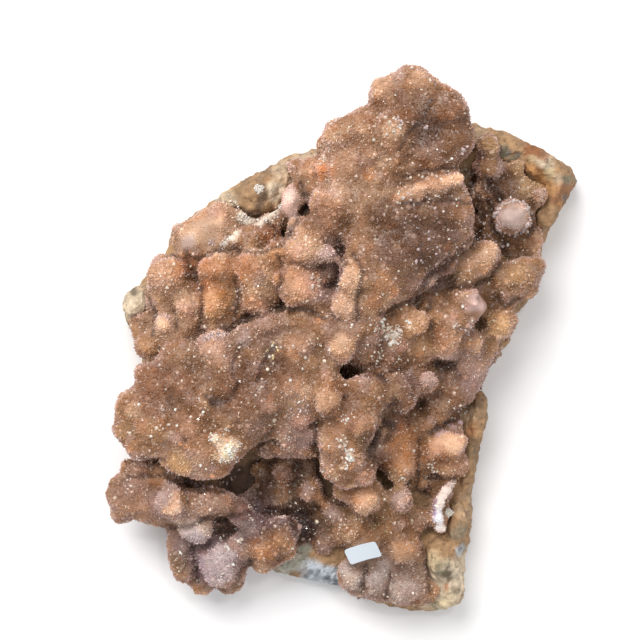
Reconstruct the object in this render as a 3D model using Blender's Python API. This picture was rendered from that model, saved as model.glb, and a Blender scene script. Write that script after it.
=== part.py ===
"""Amethyst cluster: a thick crust of druse-covered quartz lobes on a slab of its own rock, lying on its back.

Metres, +Z up out of the crust. The origin is on the flat underside of the rock, below the middle of the cluster.
Plan places and sizes are in millimetres, as the cluster is seen from straight above its middle.
"""

import math
import random

import bmesh
import bpy
from mathutils import Matrix, Vector
from mathutils.bvhtree import BVHTree

MM = 0.001

# The cluster draws in towards this plan point as it rises: by its height over this height.
LEAN_CENTRE = Vector((-13.3, 11.3))
LEAN_HEIGHT = 1500.0

CRUST_VOXEL = 2.2
CRUST_TRIANGLES = 6000
LUMP_SIZE = 9.0
LUMP_HEIGHT = 1.6
LOBE_ROOT_Z = 15.0
LOBE_ROOT_TAPER = 0.22
LOBE_SPHERE_DETAIL = 3

POINT_SEED = 7
POINT_RADIUS = (1.5, 2.3)
POINT_SIDES = 6
POINT_PROUD = 3.0

ROCK_VOXEL = 3.0
ROCK_TRIANGLES = 1300
ROCK_LUMP_SIZE = 17.0
ROCK_LUMP_HEIGHT = 4.0
ROCK_WEAR = 4
ROCK_RINGS = ((-3.0, 6.0), (7.0, 1.5), (17.0, 1.0), (24.0, 5.0), (28.0, 12.0))
JOIN_GAP = 0.6

LABEL_SIZE = (22.0, 12.0)
LABEL_PLACE = (15.5, -143.5)
LABEL_HEIGHT = 50.0
LABEL_TURN = 25.0
LABEL_TILT = 24.0
LABEL_ROLL = -18.0
LABEL_CORNER = 1.6
LABEL_SAG = 1.1
LABEL_THICKNESS = 0.35
LABEL_GAP = 0.8

# The crust's lowest layer fills the valleys between the lobes: x, y, height of its top, radius across.
BED = (
    (112, 95, 38, 34), (100, 60, 42, 30), (113, 52, 38, 22), (80, 5, 50, 32), (82, -8, 42, 18),
    (65, -60, 38, 28), (60, -88, 34, 24), (30, -125, 36, 34), (20, -150, 33, 26), (45, -148, 34, 24),
    (-38, -104, 35, 34), (-88, -130, 38, 24), (-103, -124, 38, 14), (-62, -130, 36, 24), (-30, -130, 34, 20),
    (-65, 38, 57, 32), (-92, 30, 46, 26), (-55, 60, 46, 24), (-114, 12, 42, 24), (-107, 40, 38, 18), (-118, -88, 36, 16), (-74, 8, 62, 20),
    (-45, 75, 38, 24), (-78, 66, 36, 20), (-20, 100, 40, 18), (0, 64, 80, 30), (15, -2, 76, 34),
    (42, -22, 66, 26), (20, -60, 74, 30), (-20, 80, 52, 22), (85, 30, 54, 26), (70, -25, 48, 28),
    (100, 40, 46, 24), (60, -8, 60, 22), (-40, 20, 68, 24),
)
BED_FOOT_Z = 12.0

# Each mass of the crust grows from one root (x, y), and gathers its lobes' roots towards it by a share.
# A lobe is x, y, height of its top, radius across, and where it isn't round its length over its width
# and the direction of that length in degrees from +X.
MASSES = {
    "head": ((46, 122), 0.28, (
        (57, 144, 101, 27), (48, 165, 98, 17.5), (31, 162, 90, 13), (71, 149, 104, 16.5), (77, 132, 101, 14.5), (64, 160, 99, 11),
        (61, 124, 106, 16), (38, 138, 108, 16), (37, 115, 98, 14), (67, 112, 95, 12), (52, 113, 97, 11),
        (65, 102, 107, 6, 3.4, 12),
    )),
    "shoulder": ((14, 118), 0.25, (
        (3, 132, 84, 15), (-4, 138, 72, 8), (7, 112, 90, 17), (-8, 113, 74, 10), (3, 91, 92, 16),
        (-10, 89, 84, 12), (19, 139, 93, 13), (24, 124, 97, 14), (-9, 127, 62, 8), (24, 103, 96, 12), (15, 146, 86, 9),
        (-7, 74, 85, 12),
    )),
    "torso": ((46, 58), 0.3, (
        (60, 82, 103, 21), (77, 82, 98, 14), (40, 82, 105, 18), (23, 82, 101, 15), (80, 68, 92, 11),
        (60, 62, 101, 20), (40, 58, 106, 19), (20, 61, 102, 17), (67, 51, 88, 12), (51, 42, 97, 14),
        (30, 39, 104, 17), (10, 43, 104, 12, 1.3, 80), (40, 28, 88, 11), (20, 22, 97, 14), (5, 22, 99, 12),
        (78, 93, 97, 10),
    )),
    "middle_ridge": ((10, -4), 0.3, (
        (1, -5, 101, 12, 1.2, 75), (16, 6, 92, 13), (-12, 5, 92, 12), (17, -9, 84, 10), (32, 5, 80, 11),
        (48, 8, 84, 11), (36, -11, 79, 11), (53, -8, 75, 10), (8, 8, 97, 10),
    )),
    "right_bank": ((80, 8), 0.2, (
        (63, 21, 74, 11), (77, 12, 81, 13), (70, -5, 76, 12), (87, -5, 67, 11), (87, -18, 61, 13),
        (108, 9, 63, 11), (98, -8, 53, 8.5), (67, 35, 68, 8), (92, 20, 80, 8), (73, 2, 79, 8),
    )),
    "right_fingers": ((108, 40), 0.2, (
        (91, 48, 75, 11.5, 1.6, 38), (120, 42, 64, 11, 1.8, 27), (112, 28, 54, 10), (90, 34, 58, 10),
        (132, 46, 52, 7), (98, 58, 74, 8), (103, 42, 50, 10), (126, 32, 54, 8),
    )),
    "right_pocket": ((110, 90), 0.12, (
        (114.5, 80, 72, 13), (134, 93, 53, 6.5), (127, 65, 47, 10), (99, 76, 46, 11), (107, 98, 40, 12),
        (99, 128, 60, 8), (98, 113, 54, 10), (116, 117, 46, 10), (122, 100, 42, 9), (94, 95, 50, 9),
        (127, 80, 40, 8), (112, 63, 40, 9),
    )),
    "left_torso": ((-22, 46), 0.28, (
        (-26, 56, 92, 13, 1.5, 98), (-27, 32, 98, 15), (-8, 54, 93, 6.5), (-7, 42, 80, 9), (-15, 25, 88, 9),
        (-27, 73, 84, 9), (-14, 64, 84, 10), (-36, 38, 92, 9),
    )),
    "left_lobes": ((-58, 42), 0.2, (
        (-57, 42, 80, 14), (-60, 51, 78, 9.5), (-56, 29, 76, 13), (-47, 31, 75, 12), (-63, 22, 64, 11), (-41, 57, 81, 8),
        (-50, 20, 65, 10), (-82, 45, 69, 13), (-83, 24, 68, 12.5, 1.5, 94), (-82, 10, 63, 9), (-61, 65, 63, 10, 1.5, 15),
        (-46, 69, 55, 8), (-70, 36, 64, 9), (-88, 38, 60, 9),
    )),
    "lilac_ridge": ((-42, 4), 0.2, (
        (-40, 8, 85, 8, 2.4, 13), (-63, 1, 77, 8.5), (-49, 10, 86, 8), (-24, 13, 86, 8), (-55, 3, 76, 8),
    )),
    "upper_left_rim": ((-70, 78), 0.12, (
        (-31, 90, 63, 7.5, 1.7, 82), (-20, 110, 53, 10), (-17, 97, 58, 9), (-51, 77, 45, 6, 2.0, 35),
        (-66, 82, 41, 6, 1.7, -50), (-97, 66, 50, 14), (-79, 76, 51, 12), (-106, 68, 42, 9),
        (-76, 64, 49, 7, 1.5, 30), (-80, 83, 44, 8), (-30, 112, 42, 8), (-42, 78, 44, 7), (-90, 77, 44, 10),
    )),
    "left_rim": ((-110, 28), 0.15, (
        (-115, 42, 57, 14.5), (-105, 50, 51, 9), (-120, 26, 49, 12), (-118, 8, 65, 8), (-101, 19, 60, 10),
        (-99, 8, 57, 9), (-135, 10, 42, 8), (-126, -6, 55, 11), (-110, -5, 63, 12), (-118, 49, 38, 8),
        (-132, -2, 44, 7), (-108, 28, 52, 11),
    )),
    "shelf": ((-62, -26), 0.34, (
        (-107, -15, 77, 15), (-83, -9, 87, 15), (-119, -31, 80, 17), (-136, -48, 78, 15.5), (-140, -60, 72, 13),
        (-117, -58, 84, 20), (-131, -70, 75, 14), (-94, -42, 89, 20), (-97, -68, 88, 18),
        (-93, -85, 79, 11, 1.8, 0), (-77, -72, 89, 15), (-70, -52, 89, 18), (-57, -61, 81, 12, 1.5, 35),
        (-73, -25, 92, 17), (-50, -19, 91, 17), (-53, -39, 91, 18), (-30, -12, 94, 16), (-30, -32, 93, 17),
        (-10, -22, 91, 12), (-27, -48, 85, 13), (-37, -61, 77, 11), (-20, -61, 76, 10), (-43, -5, 82, 10),
        (-110, -80, 78, 11), (-81, -86, 80, 10), (-131, -24, 70, 8),
    )),
    "under_shelf": ((-24, -66), 0.2, (
        (-37, -73, 66, 9), (-23, -73, 66, 9), (-50, -72, 62, 9),
    )),
    "centre_column": ((12, -56), 0.3, (
        (-8, -41, 97, 11, 1.3, 90), (17, -39, 93, 16), (13, -55, 95, 16), (-3, -69, 91, 13), (7, -79, 89, 14),
        (-3, -86, 84, 12), (14, -89, 79, 12), (3, -94, 75, 9), (37, -35, 85, 12), (29, -28, 80, 9),
        (43, -42, 77, 10), (24, -68, 74, 11), (60, -30, 73, 7.5), (47, -24, 67, 7),
    )),
    "right_slope": ((62, -60), 0.15, (
        (77, -35, 57, 14), (67, -46, 53, 11), (87, -31, 53, 8), (45, -62, 51, 9, 1.8, 70),
        (43, -83, 56, 10, 1.4, 90), (59, -58, 54, 8), (32, -85, 52, 6, 2.0, 100), (71, -72, 56, 11, 1.5, 14),
        (74, -86, 45, 11, 1.4, 5), (57, -82, 46, 9), (54, -94, 40, 9),
    )),
    "pit_floor": ((-38, -102), 0.1, (
        (-38, -90, 46, 8.5), (-40, -105, 41, 10), (-19, -102, 47, 9.5), (-23, -84, 42, 9), (-56, -88, 34, 10),
        (-27, -121, 28, 13), (-10, -138, 36, 10), (-60, -103, 31, 11), (-14, -122, 36, 9),
    )),
    "lower_apron": ((26, -130), 0.12, (
        (17, -106, 63, 13), (41, -108, 57, 9.5), (3, -102, 57, 9), (-5, -116, 47, 9), (7, -128, 47, 13),
        (37, -127, 46, 12), (16, -142, 47, 13), (45, -143, 51, 12), (6, -159, 43, 11), (26, -164, 45, 13),
        (42, -167, 47, 13.5), (53, -121, 41, 9), (30, -152, 45, 10), (57, -148, 43, 9), (29, -116, 46, 8),
        (12, -167, 36, 8), (58, -167, 41, 13),
    )),
    "tusk": ((68, -114), 0.1, (
        (71, -103, 50, 5), (65, -110, 53, 5.5), (64, -120, 51, 5.5), (68, -128, 46, 5), (73, -117, 41, 3.5),
    )),
    "lower_left_arm": ((-84, -100), 0.3, (
        (-143, -108, 57, 13.5), (-147, -99, 52, 9), (-134, -95, 55, 11), (-127, -113, 57, 13), (-112, -110, 65, 13),
        (-87, -110, 63, 12, 1.4, 5), (-97, -128, 55, 9, 1.4, 0), (-139, -88, 47, 9), (-117, -92, 57, 10),
        (-67, -116, 53, 10), (-146, -117, 46, 9), (-118, -120, 50, 9),
    )),
    "lower_left_feet": ((-66, -128), 0.3, (
        (-106, -145, 41, 11, 1.9, 100), (-80, -152, 51, 14, 1.2, 90), (-67, -141, 51, 10), (-73, -161, 37, 11),
        (-48, -141, 53, 13), (-37, -129, 57, 12), (-57, -126, 51, 10), (-51, -151, 43, 9), (-93, -167, 32, 7.5),
        (-38, -142, 48, 10),
    )),
}

# Patches where the druse has coarse clear points: x, y, radius of the patch, number of points.
COARSE_PATCHES = (
    (31, 1, 10, 7), (-77, -70, 12, 6), (38, 140, 9, 5), (2, -76, 7, 4), (2, -55, 5, 2), (-33, -17, 9, 4),
    (46, 118, 9, 3), (66, 100, 9, 4),
)

# Single large crystals that stand out of the druse: x, y, height of the tip, radius, and the tilt's x and y share.
LARGE_CRYSTALS = (
    (92, 21, 88, 10.0, 0.35, -0.25),
    (-118, 8, 70, 6.0, -0.15, 0.1),
    (-84, -66, 93, 4.5, 0.1, 0.2),
    (60, -30, 78, 5.0, 0.2, 0.1),
    (-20, 110, 58, 4.5, -0.2, 0.2),
)

# The slab's outline in plan, anticlockwise from its left corner.
ROCK_OUTLINE = (
    (-143, 26), (-145, 13), (-138, 3), (-135, -10), (-127, -32), (-121, -62), (-113, -95), (-93, -122),
    (-67, -141), (-45, -157), (-23, -162), (-1, -166), (8, -173), (30, -180), (47, -183), (72, -184),
    (82, -175), (83, -149), (88, -135), (89, -109), (91, -89), (96, -72), (97, -45), (93, -31), (101, -17),
    (115, -2), (117, 15), (129, 27), (137, 41), (135, 59), (143, 77), (152, 91), (159, 107), (148, 117),
    (127, 129), (109, 139), (91, 143), (60, 150), (27, 148), (3, 141), (-12, 127), (-29, 123), (-43, 118),
    (-63, 105), (-83, 92), (-100, 81), (-113, 73), (-114, 61), (-123, 50), (-128, 43), (-135, 35),
)

# Bare rock that stands up round the crust: x, y, height of its top, radius across, length over width, direction.
ROCK_KNOBS = (
    (-52, 95, 47, 14, 1.3, 20), (-42, 105, 42, 11, 1.0, 0), (-68, 92, 38, 9, 1.6, 30),
    (110, 126, 45, 11, 1.6, -25), (133, 115, 42, 10, 1.6, -30), (147, 105, 36, 9, 1.2, 60),
    (140, 85, 43, 7, 2.2, 68), (-136, 24, 42, 9, 1.2, 60), (92, -54, 40, 6, 3.2, 85),
    (85, -88, 36, 5, 3.0, 90), (68, -149, 44, 12, 1.4, 110), (72, -170, 38, 12, 1.0, 0),
    (79, -124, 42, 6, 2.6, 90), (-22, -151, 31, 7, 2.2, -12), (-2, -157, 27, 6, 1.6, -25),
    (91, 133, 38, 7, 1.3, -10),
)


def clear_scene():
    for old in list(bpy.data.objects):
        bpy.data.objects.remove(old)


def material(name, colour, roughness):
    """A Principled material with one plain colour."""
    made = bpy.data.materials.new(name)
    made.use_nodes = True
    shader = made.node_tree.nodes["Principled BSDF"]
    shader.inputs["Base Color"].default_value = (*colour, 1)
    shader.inputs["Roughness"].default_value = roughness
    shader.inputs["Metallic"].default_value = 0.0
    made.diffuse_color = (*colour, 1)
    return made


def in_place(x, y, z):
    """The point in metres at this height that shows at this plan place."""
    seen = LEAN_CENTRE + (Vector((x, y)) - LEAN_CENTRE) * (1 - z / LEAN_HEIGHT)
    return Vector((seen.x, seen.y, z)) * MM


def add_lobe(shape, root, gather, x, y, top, radius, length=1.0, turn=0.0, root_z=LOBE_ROOT_Z):
    """A round-ended finger: a dome at the top whose lower half is drawn down to its root."""
    size = radius * (1 - top / LEAN_HEIGHT)
    middle = in_place(x, y, top - size)
    foot = in_place(x + (root[0] - x) * gather, y + (root[1] - y) * gather, root_z)
    spin = Matrix.Rotation(math.radians(turn), 3, "Z")
    ball = bmesh.ops.create_icosphere(shape, subdivisions=LOBE_SPHERE_DETAIL, radius=1.0)
    for vertex in ball["verts"]:
        way = vertex.co.copy()
        if way.z >= 0:
            offset = Vector((way.x * length, way.y, way.z))
            vertex.co = middle + spin @ offset * size * MM
            continue
        depth = min(1.0, -way.z)
        across = Vector((way.x, way.y)).normalized() if depth < 0.999 else Vector((0, 0))
        girth = math.sqrt(max(0.0, 1 - depth**4)) * (1 - LOBE_ROOT_TAPER * depth)
        offset = Vector((across.x * girth * length, across.y * girth, 0))
        vertex.co = middle.lerp(foot, depth) + spin @ offset * size * MM


def add_mound(shape, x, y, top, radius):
    """A wide low dome with a shallow underside."""
    foot = in_place(x, y, BED_FOOT_Z)
    ball = bmesh.ops.create_icosphere(shape, subdivisions=LOBE_SPHERE_DETAIL, radius=1.0)
    for vertex in ball["verts"]:
        rise = (top - BED_FOOT_Z) if vertex.co.z > 0 else 4.0
        vertex.co = foot + Vector((vertex.co.x * radius, vertex.co.y * radius, vertex.co.z * rise)) * MM


def add_point(shape, tip, direction, radius):
    """One closed quartz point: a six-sided prism under a six-sided pyramid, its tip at the given place."""
    prism_length, cap_length = 2.2 * radius, 1.15 * radius
    turn = direction.to_track_quat("Z", "Y").to_matrix()
    end = shape.verts.new(tip)
    rings = []
    for below in (cap_length, cap_length + prism_length):
        ring = []
        for side in range(POINT_SIDES):
            angle = math.tau * side / POINT_SIDES
            corner = Vector((math.cos(angle) * radius, math.sin(angle) * radius, -below))
            ring.append(shape.verts.new(tip + turn @ corner * MM))
        rings.append(ring)
    upper, lower = rings
    for side in range(POINT_SIDES):
        after = (side + 1) % POINT_SIDES
        shape.faces.new((end, upper[side], upper[after]))
        shape.faces.new((upper[side], lower[side], lower[after], upper[after]))
    shape.faces.new(list(reversed(lower)))


def object_from(shape, name, finish=None):
    mesh = bpy.data.meshes.new(name)
    shape.to_mesh(mesh)
    shape.free()
    made = bpy.data.objects.new(name, mesh)
    bpy.context.scene.collection.objects.link(made)
    if finish:
        mesh.materials.append(finish)
    return made


def apply_modifiers(thing):
    """Bakes the object's modifiers into its mesh."""
    bpy.context.view_layer.update()
    graph = bpy.context.evaluated_depsgraph_get()
    old = thing.data
    thing.data = bpy.data.meshes.new_from_object(thing.evaluated_get(graph))
    thing.data.name = thing.name
    thing.modifiers.clear()
    bpy.data.meshes.remove(old)


def lumps(thing, name, size, height):
    """Rough lumps of a few millimetres over the whole surface."""
    pattern = bpy.data.textures.new(name, "CLOUDS")
    pattern.noise_scale = size * MM
    pattern.noise_depth = 1
    push = thing.modifiers.new(name, "DISPLACE")
    push.texture = pattern
    push.texture_coords = "LOCAL"
    push.mid_level = 0.5
    push.strength = height * MM


def fuse(thing, voxel):
    """Joins the overlapping shapes of one object into a single skin."""
    skin = thing.modifiers.new("fuse", "REMESH")
    skin.mode = "VOXEL"
    skin.voxel_size = voxel * MM
    skin.adaptivity = 0.0


def thin_to(thing, triangles):
    """Reduces a mesh to about this many flat facets."""
    count = sum(len(face.vertices) - 2 for face in thing.data.polygons)
    thin = thing.modifiers.new("facets", "DECIMATE")
    thin.ratio = min(1.0, triangles / count)
    thin.use_collapse_triangulate = True
    apply_modifiers(thing)


def swollen_copy(thing, name, gap):
    """A copy of a closed solid whose faces all lie this far outside the solid's own."""
    shape = bmesh.new()
    shape.from_mesh(thing.data)
    shape.normal_update()
    steps = {vertex: vertex.normal * min(3.0, vertex.calc_shell_factor()) for vertex in shape.verts}
    for vertex, step in steps.items():
        vertex.co += step * gap * MM
    return object_from(shape, name)


def keep_largest_body(thing):
    """Drops the crumbs that a cut leaves beside the main body."""
    shape = bmesh.new()
    shape.from_mesh(thing.data)
    bmesh.ops.remove_doubles(shape, verts=shape.verts, dist=0.01 * MM)
    unseen = set(shape.faces)
    bodies = []
    while unseen:
        body, waiting = set(), [unseen.pop()]
        while waiting:
            face = waiting.pop()
            body.add(face)
            near = {beside for edge in face.edges for beside in edge.link_faces} & unseen
            unseen -= near
            waiting.extend(near)
        bodies.append(body)
    largest = max(bodies, key=len)
    spare = [face for body in bodies if body is not largest for face in body]
    bmesh.ops.delete(shape, geom=spare, context="FACES")
    bmesh.ops.triangulate(shape, faces=shape.faces)
    shape.to_mesh(thing.data)
    shape.free()


def cut_flat(thing, height):
    """Cuts the object off level at this height and closes the cut."""
    shape = bmesh.new()
    shape.from_mesh(thing.data)
    everything = list(shape.verts) + list(shape.edges) + list(shape.faces)
    cut = bmesh.ops.bisect_plane(
        shape, geom=everything, plane_co=(0, 0, height * MM), plane_no=(0, 0, -1), clear_outer=True
    )
    rim = [part for part in cut["geom_cut"] if isinstance(part, bmesh.types.BMEdge)]
    bmesh.ops.triangle_fill(shape, edges=rim, use_beauty=True)
    bmesh.ops.recalc_face_normals(shape, faces=shape.faces)
    shape.to_mesh(thing.data)
    shape.free()


def boolean(thing, other, operation):
    joint = thing.modifiers.new(operation.lower(), "BOOLEAN")
    joint.operation = operation
    joint.object = other
    joint.solver = "EXACT"
    joint.use_self = operation == "UNION"
    apply_modifiers(thing)


def hide_helper(thing):
    thing.hide_render = True
    thing.display_type = "WIRE"


def rock_slab(finish):
    """The slab of host rock: a low block with sloping sides, knobs of bare rock on it and a level underside."""
    shape = bmesh.new()
    centre = sum((Vector(corner) for corner in ROCK_OUTLINE), Vector((0, 0))) / len(ROCK_OUTLINE)
    rings = []
    for height, inset in ROCK_RINGS:
        ring = []
        for corner in ROCK_OUTLINE:
            inward = centre - Vector(corner)
            moved = Vector(corner) + inward.normalized() * inset
            ring.append(shape.verts.new(in_place(moved.x, moved.y, height)))
        rings.append(ring)
    for lower, upper in zip(rings, rings[1:]):
        for here in range(len(ROCK_OUTLINE)):
            after = (here + 1) % len(ROCK_OUTLINE)
            shape.faces.new((lower[here], lower[after], upper[after], upper[here]))
    shape.faces.new(list(reversed(rings[0])))
    shape.faces.new(rings[-1])
    for x, y, top, radius, length, turn in ROCK_KNOBS:
        add_lobe(shape, (x, y), 0.0, x, y, top, radius, length, turn, root_z=4.0)
    slab = object_from(shape, "host_rock", finish)
    fuse(slab, ROCK_VOXEL)
    apply_modifiers(slab)
    rough = slab.vertex_groups.new(name="bare rock")
    top = ROCK_RINGS[-1][0] * MM
    rough.add([vertex.index for vertex in slab.data.vertices if abs(vertex.co.z - top) > MM], 1.0, "REPLACE")
    lumps(slab, "rock lumps", ROCK_LUMP_SIZE, ROCK_LUMP_HEIGHT)
    slab.modifiers["rock lumps"].vertex_group = rough.name
    worn = slab.modifiers.new("worn edges", "SMOOTH")
    worn.factor = 0.5
    worn.iterations = ROCK_WEAR
    apply_modifiers(slab)
    thin_to(slab, ROCK_TRIANGLES)
    cut_flat(slab, 0.0)
    slab.data.materials.clear()
    slab.data.materials.append(finish)
    return slab


def large_crystals(shape):
    """The few single crystals that are big enough to be told apart."""
    for x, y, top, radius, tilt_x, tilt_y in LARGE_CRYSTALS:
        add_point(shape, in_place(x, y, top), Vector((tilt_x, tilt_y, 1)).normalized(), radius)


def coarse_points(shape, crust):
    """Small quartz points that stand on the crust's skin inside each coarse patch."""
    bpy.context.view_layer.update()
    skin = BVHTree.FromObject(crust, bpy.context.evaluated_depsgraph_get())
    chance = random.Random(POINT_SEED)
    for x, y, spread, number in COARSE_PATCHES:
        for _ in range(number):
            around, out = chance.uniform(0, math.tau), spread * math.sqrt(chance.random())
            above = in_place(x + out * math.cos(around), y + out * math.sin(around), 90)
            spot, facing, _, _ = skin.ray_cast(above + Vector((0, 0, 1)), Vector((0, 0, -1)))
            direction = (facing + Vector((0, 0, 0.6))).normalized()
            add_point(shape, spot + direction * POINT_PROUD * MM, direction, chance.uniform(*POINT_RADIUS))


def druse_crust(finish, rock):
    """All the lobes grown together into one body, with the quartz points on them, fitted over the rock."""
    shape = bmesh.new()
    for mound in BED:
        add_mound(shape, *mound)
    for root, gather, lobes in MASSES.values():
        for lobe in lobes:
            add_lobe(shape, root, gather, *lobe)
    crust = object_from(shape, "amethyst_crust", finish)
    fuse(crust, CRUST_VOXEL)
    lumps(crust, "crust lumps", LUMP_SIZE, LUMP_HEIGHT)
    apply_modifiers(crust)
    thin_to(crust, CRUST_TRIANGLES)

    points = bmesh.new()
    large_crystals(points)
    coarse_points(points, crust)
    crystals = object_from(points, "quartz_points")
    boolean(crust, crystals, "UNION")
    hide_helper(crystals)

    fitting = swollen_copy(rock, "rock_with_gap", JOIN_GAP)
    boolean(crust, fitting, "DIFFERENCE")
    hide_helper(fitting)
    keep_largest_body(crust)
    crust.data.materials.clear()
    crust.data.materials.append(finish)
    return crust


def label_outline():
    """The flat label's edge, with round corners, as points anticlockwise."""
    half = Vector(LABEL_SIZE) / 2
    points = []
    for quarter, (across, up) in enumerate(((1, 1), (-1, 1), (-1, -1), (1, -1))):
        centre = Vector((across * (half.x - LABEL_CORNER), up * (half.y - LABEL_CORNER)))
        for step in range(3):
            angle = math.radians(90 * quarter + 45 * step)
            points.append(centre + Vector((math.cos(angle), math.sin(angle))) * LABEL_CORNER)
    return points


def paper_label(finish, crust):
    """A small blank sticker, bent a little lengthwise, that lies aslant on the lower lobes."""
    shape = bmesh.new()
    edge = [shape.verts.new((point.x, point.y, 0)) for point in label_outline()]
    shape.faces.new(edge)
    for share in (0.25, 0.5, 0.75):
        cut_x = LABEL_SIZE[0] * (share - 0.5)
        whole = list(shape.verts) + list(shape.edges) + list(shape.faces)
        bmesh.ops.bisect_plane(shape, geom=whole, plane_co=(cut_x, 0, 0), plane_no=(1, 0, 0))
    spin = Matrix.Rotation(math.radians(LABEL_TURN), 4, "Z") @ Matrix.Rotation(math.radians(LABEL_TILT), 4, "X")
    spin = spin @ Matrix.Rotation(math.radians(LABEL_ROLL), 4, "Y")
    place = in_place(*LABEL_PLACE, LABEL_HEIGHT)
    place.z = 0.0
    for vertex in shape.verts:
        vertex.co.z = LABEL_SAG * (2 * vertex.co.x / LABEL_SIZE[0]) ** 2
        vertex.co = spin @ vertex.co * MM + place

    graph = bpy.context.evaluated_depsgraph_get()
    ground = BVHTree.FromObject(crust, graph)
    lift = 0.0
    for face in shape.faces:
        corners = [vertex.co for vertex in face.verts]
        for share in (0.0, 0.25, 0.5, 0.75, 1.0):
            for first, second in zip(corners, corners[1:] + corners[:1]):
                spot = first.lerp(second, share)
                hit = ground.ray_cast(Vector((spot.x, spot.y, 1)), Vector((0, 0, -1)))[0]
                if hit:
                    lift = max(lift, hit.z - spot.z)
    for vertex in shape.verts:
        vertex.co.z += lift + LABEL_GAP * MM
    label = object_from(shape, "paper_label", finish)
    thick = label.modifiers.new("thickness", "SOLIDIFY")
    thick.thickness = LABEL_THICKNESS * MM
    thick.offset = 1.0
    return label


def main():
    clear_scene()
    rock = rock_slab(material("host rock", (0.50, 0.38, 0.24), 0.9))
    crust = druse_crust(material("stained amethyst", (0.42, 0.27, 0.21), 0.35), rock)
    paper_label(material("label paper", (0.86, 0.88, 0.90), 0.6), crust)


main()
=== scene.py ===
"""Amethyst cluster lying on its back: quartz lobes under a stained druse, on their rock, with a label."""

import bpy
import numpy as np
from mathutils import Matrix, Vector
from mathutils.bvhtree import BVHTree
from mathutils.kdtree import KDTree


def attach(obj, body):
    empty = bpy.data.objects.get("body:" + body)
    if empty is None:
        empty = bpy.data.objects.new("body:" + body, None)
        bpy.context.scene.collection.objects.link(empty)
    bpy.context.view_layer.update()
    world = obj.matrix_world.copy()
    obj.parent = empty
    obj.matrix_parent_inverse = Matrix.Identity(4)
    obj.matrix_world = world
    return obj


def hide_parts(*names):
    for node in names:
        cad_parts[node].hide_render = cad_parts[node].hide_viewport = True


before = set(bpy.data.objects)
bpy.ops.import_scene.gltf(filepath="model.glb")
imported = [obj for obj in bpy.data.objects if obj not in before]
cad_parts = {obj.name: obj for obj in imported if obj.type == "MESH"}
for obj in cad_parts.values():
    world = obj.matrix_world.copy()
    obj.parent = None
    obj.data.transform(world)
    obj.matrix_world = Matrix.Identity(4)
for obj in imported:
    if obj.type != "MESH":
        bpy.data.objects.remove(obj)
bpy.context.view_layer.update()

# The studio: a plain pale floor, a large soft key light from beyond the head of the cluster, a low fill,
# and one small bright lamp that the crystal faces catch. The camera looks straight down on the crystals.
MM = 0.001
CAMERA_PLACE = (-13.3, 11.3)
CAMERA_HEIGHT = 1500.0
FRAME_WIDTH = 426.67
SENSOR_WIDTH = 36.0
LAMP_AIM = (0, 0, 0.05)
LAMPS = (
    # name, place and size in metres, power in watts, colour
    ("key light", (-0.6, 1.0, 1.6), 1.3, 40.0, (1.0, 0.98, 0.96)),
    ("fill light", (0.9, -0.6, 1.6), 1.2, 6.0, (0.96, 0.97, 1.0)),
    ("sparkle lamp", (0.35, 0.5, 2.1), 0.06, 3.5, (1.0, 0.98, 0.95)),
)
AMBIENT = 0.54

bpy.ops.object.select_all(action="DESELECT")
bpy.ops.object.camera_add(location=(CAMERA_PLACE[0] * MM, CAMERA_PLACE[1] * MM, CAMERA_HEIGHT * MM))
camera = bpy.context.object
camera.data.sensor_width = SENSOR_WIDTH
camera.data.lens = SENSOR_WIDTH * CAMERA_HEIGHT / FRAME_WIDTH
camera.data.clip_end = 20.0
bpy.context.scene.camera = camera

for lamp_name, lamp_place, lamp_size, lamp_power, lamp_colour in LAMPS:
    bpy.ops.object.light_add(type="AREA", location=lamp_place)
    lamp = bpy.context.object
    lamp.name = lamp_name
    lamp.data.size = lamp_size
    lamp.data.energy = lamp_power
    lamp.data.color = lamp_colour
    lamp.rotation_euler = (Vector(LAMP_AIM) - Vector(lamp_place)).to_track_quat("-Z", "Y").to_euler()

world = bpy.data.worlds.new("studio")
world.use_nodes = True
world.node_tree.nodes["Background"].inputs["Color"].default_value = (0.97, 0.98, 1.0, 1)
world.node_tree.nodes["Background"].inputs["Strength"].default_value = AMBIENT
bpy.context.scene.world = world
bpy.context.scene.view_settings.view_transform = "Standard"

bpy.ops.mesh.primitive_plane_add(size=6.0)
floor = bpy.context.object
floor.name = "studio_floor"
floor_paint = bpy.data.materials.new("floor paint")
floor_paint.use_nodes = True
floor_shader = floor_paint.node_tree.nodes["Principled BSDF"]
floor_shader.inputs["Base Color"].default_value = (0.93, 0.93, 0.93, 1)
floor_shader.inputs["Roughness"].default_value = 0.9
floor.data.materials.append(floor_paint)

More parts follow.
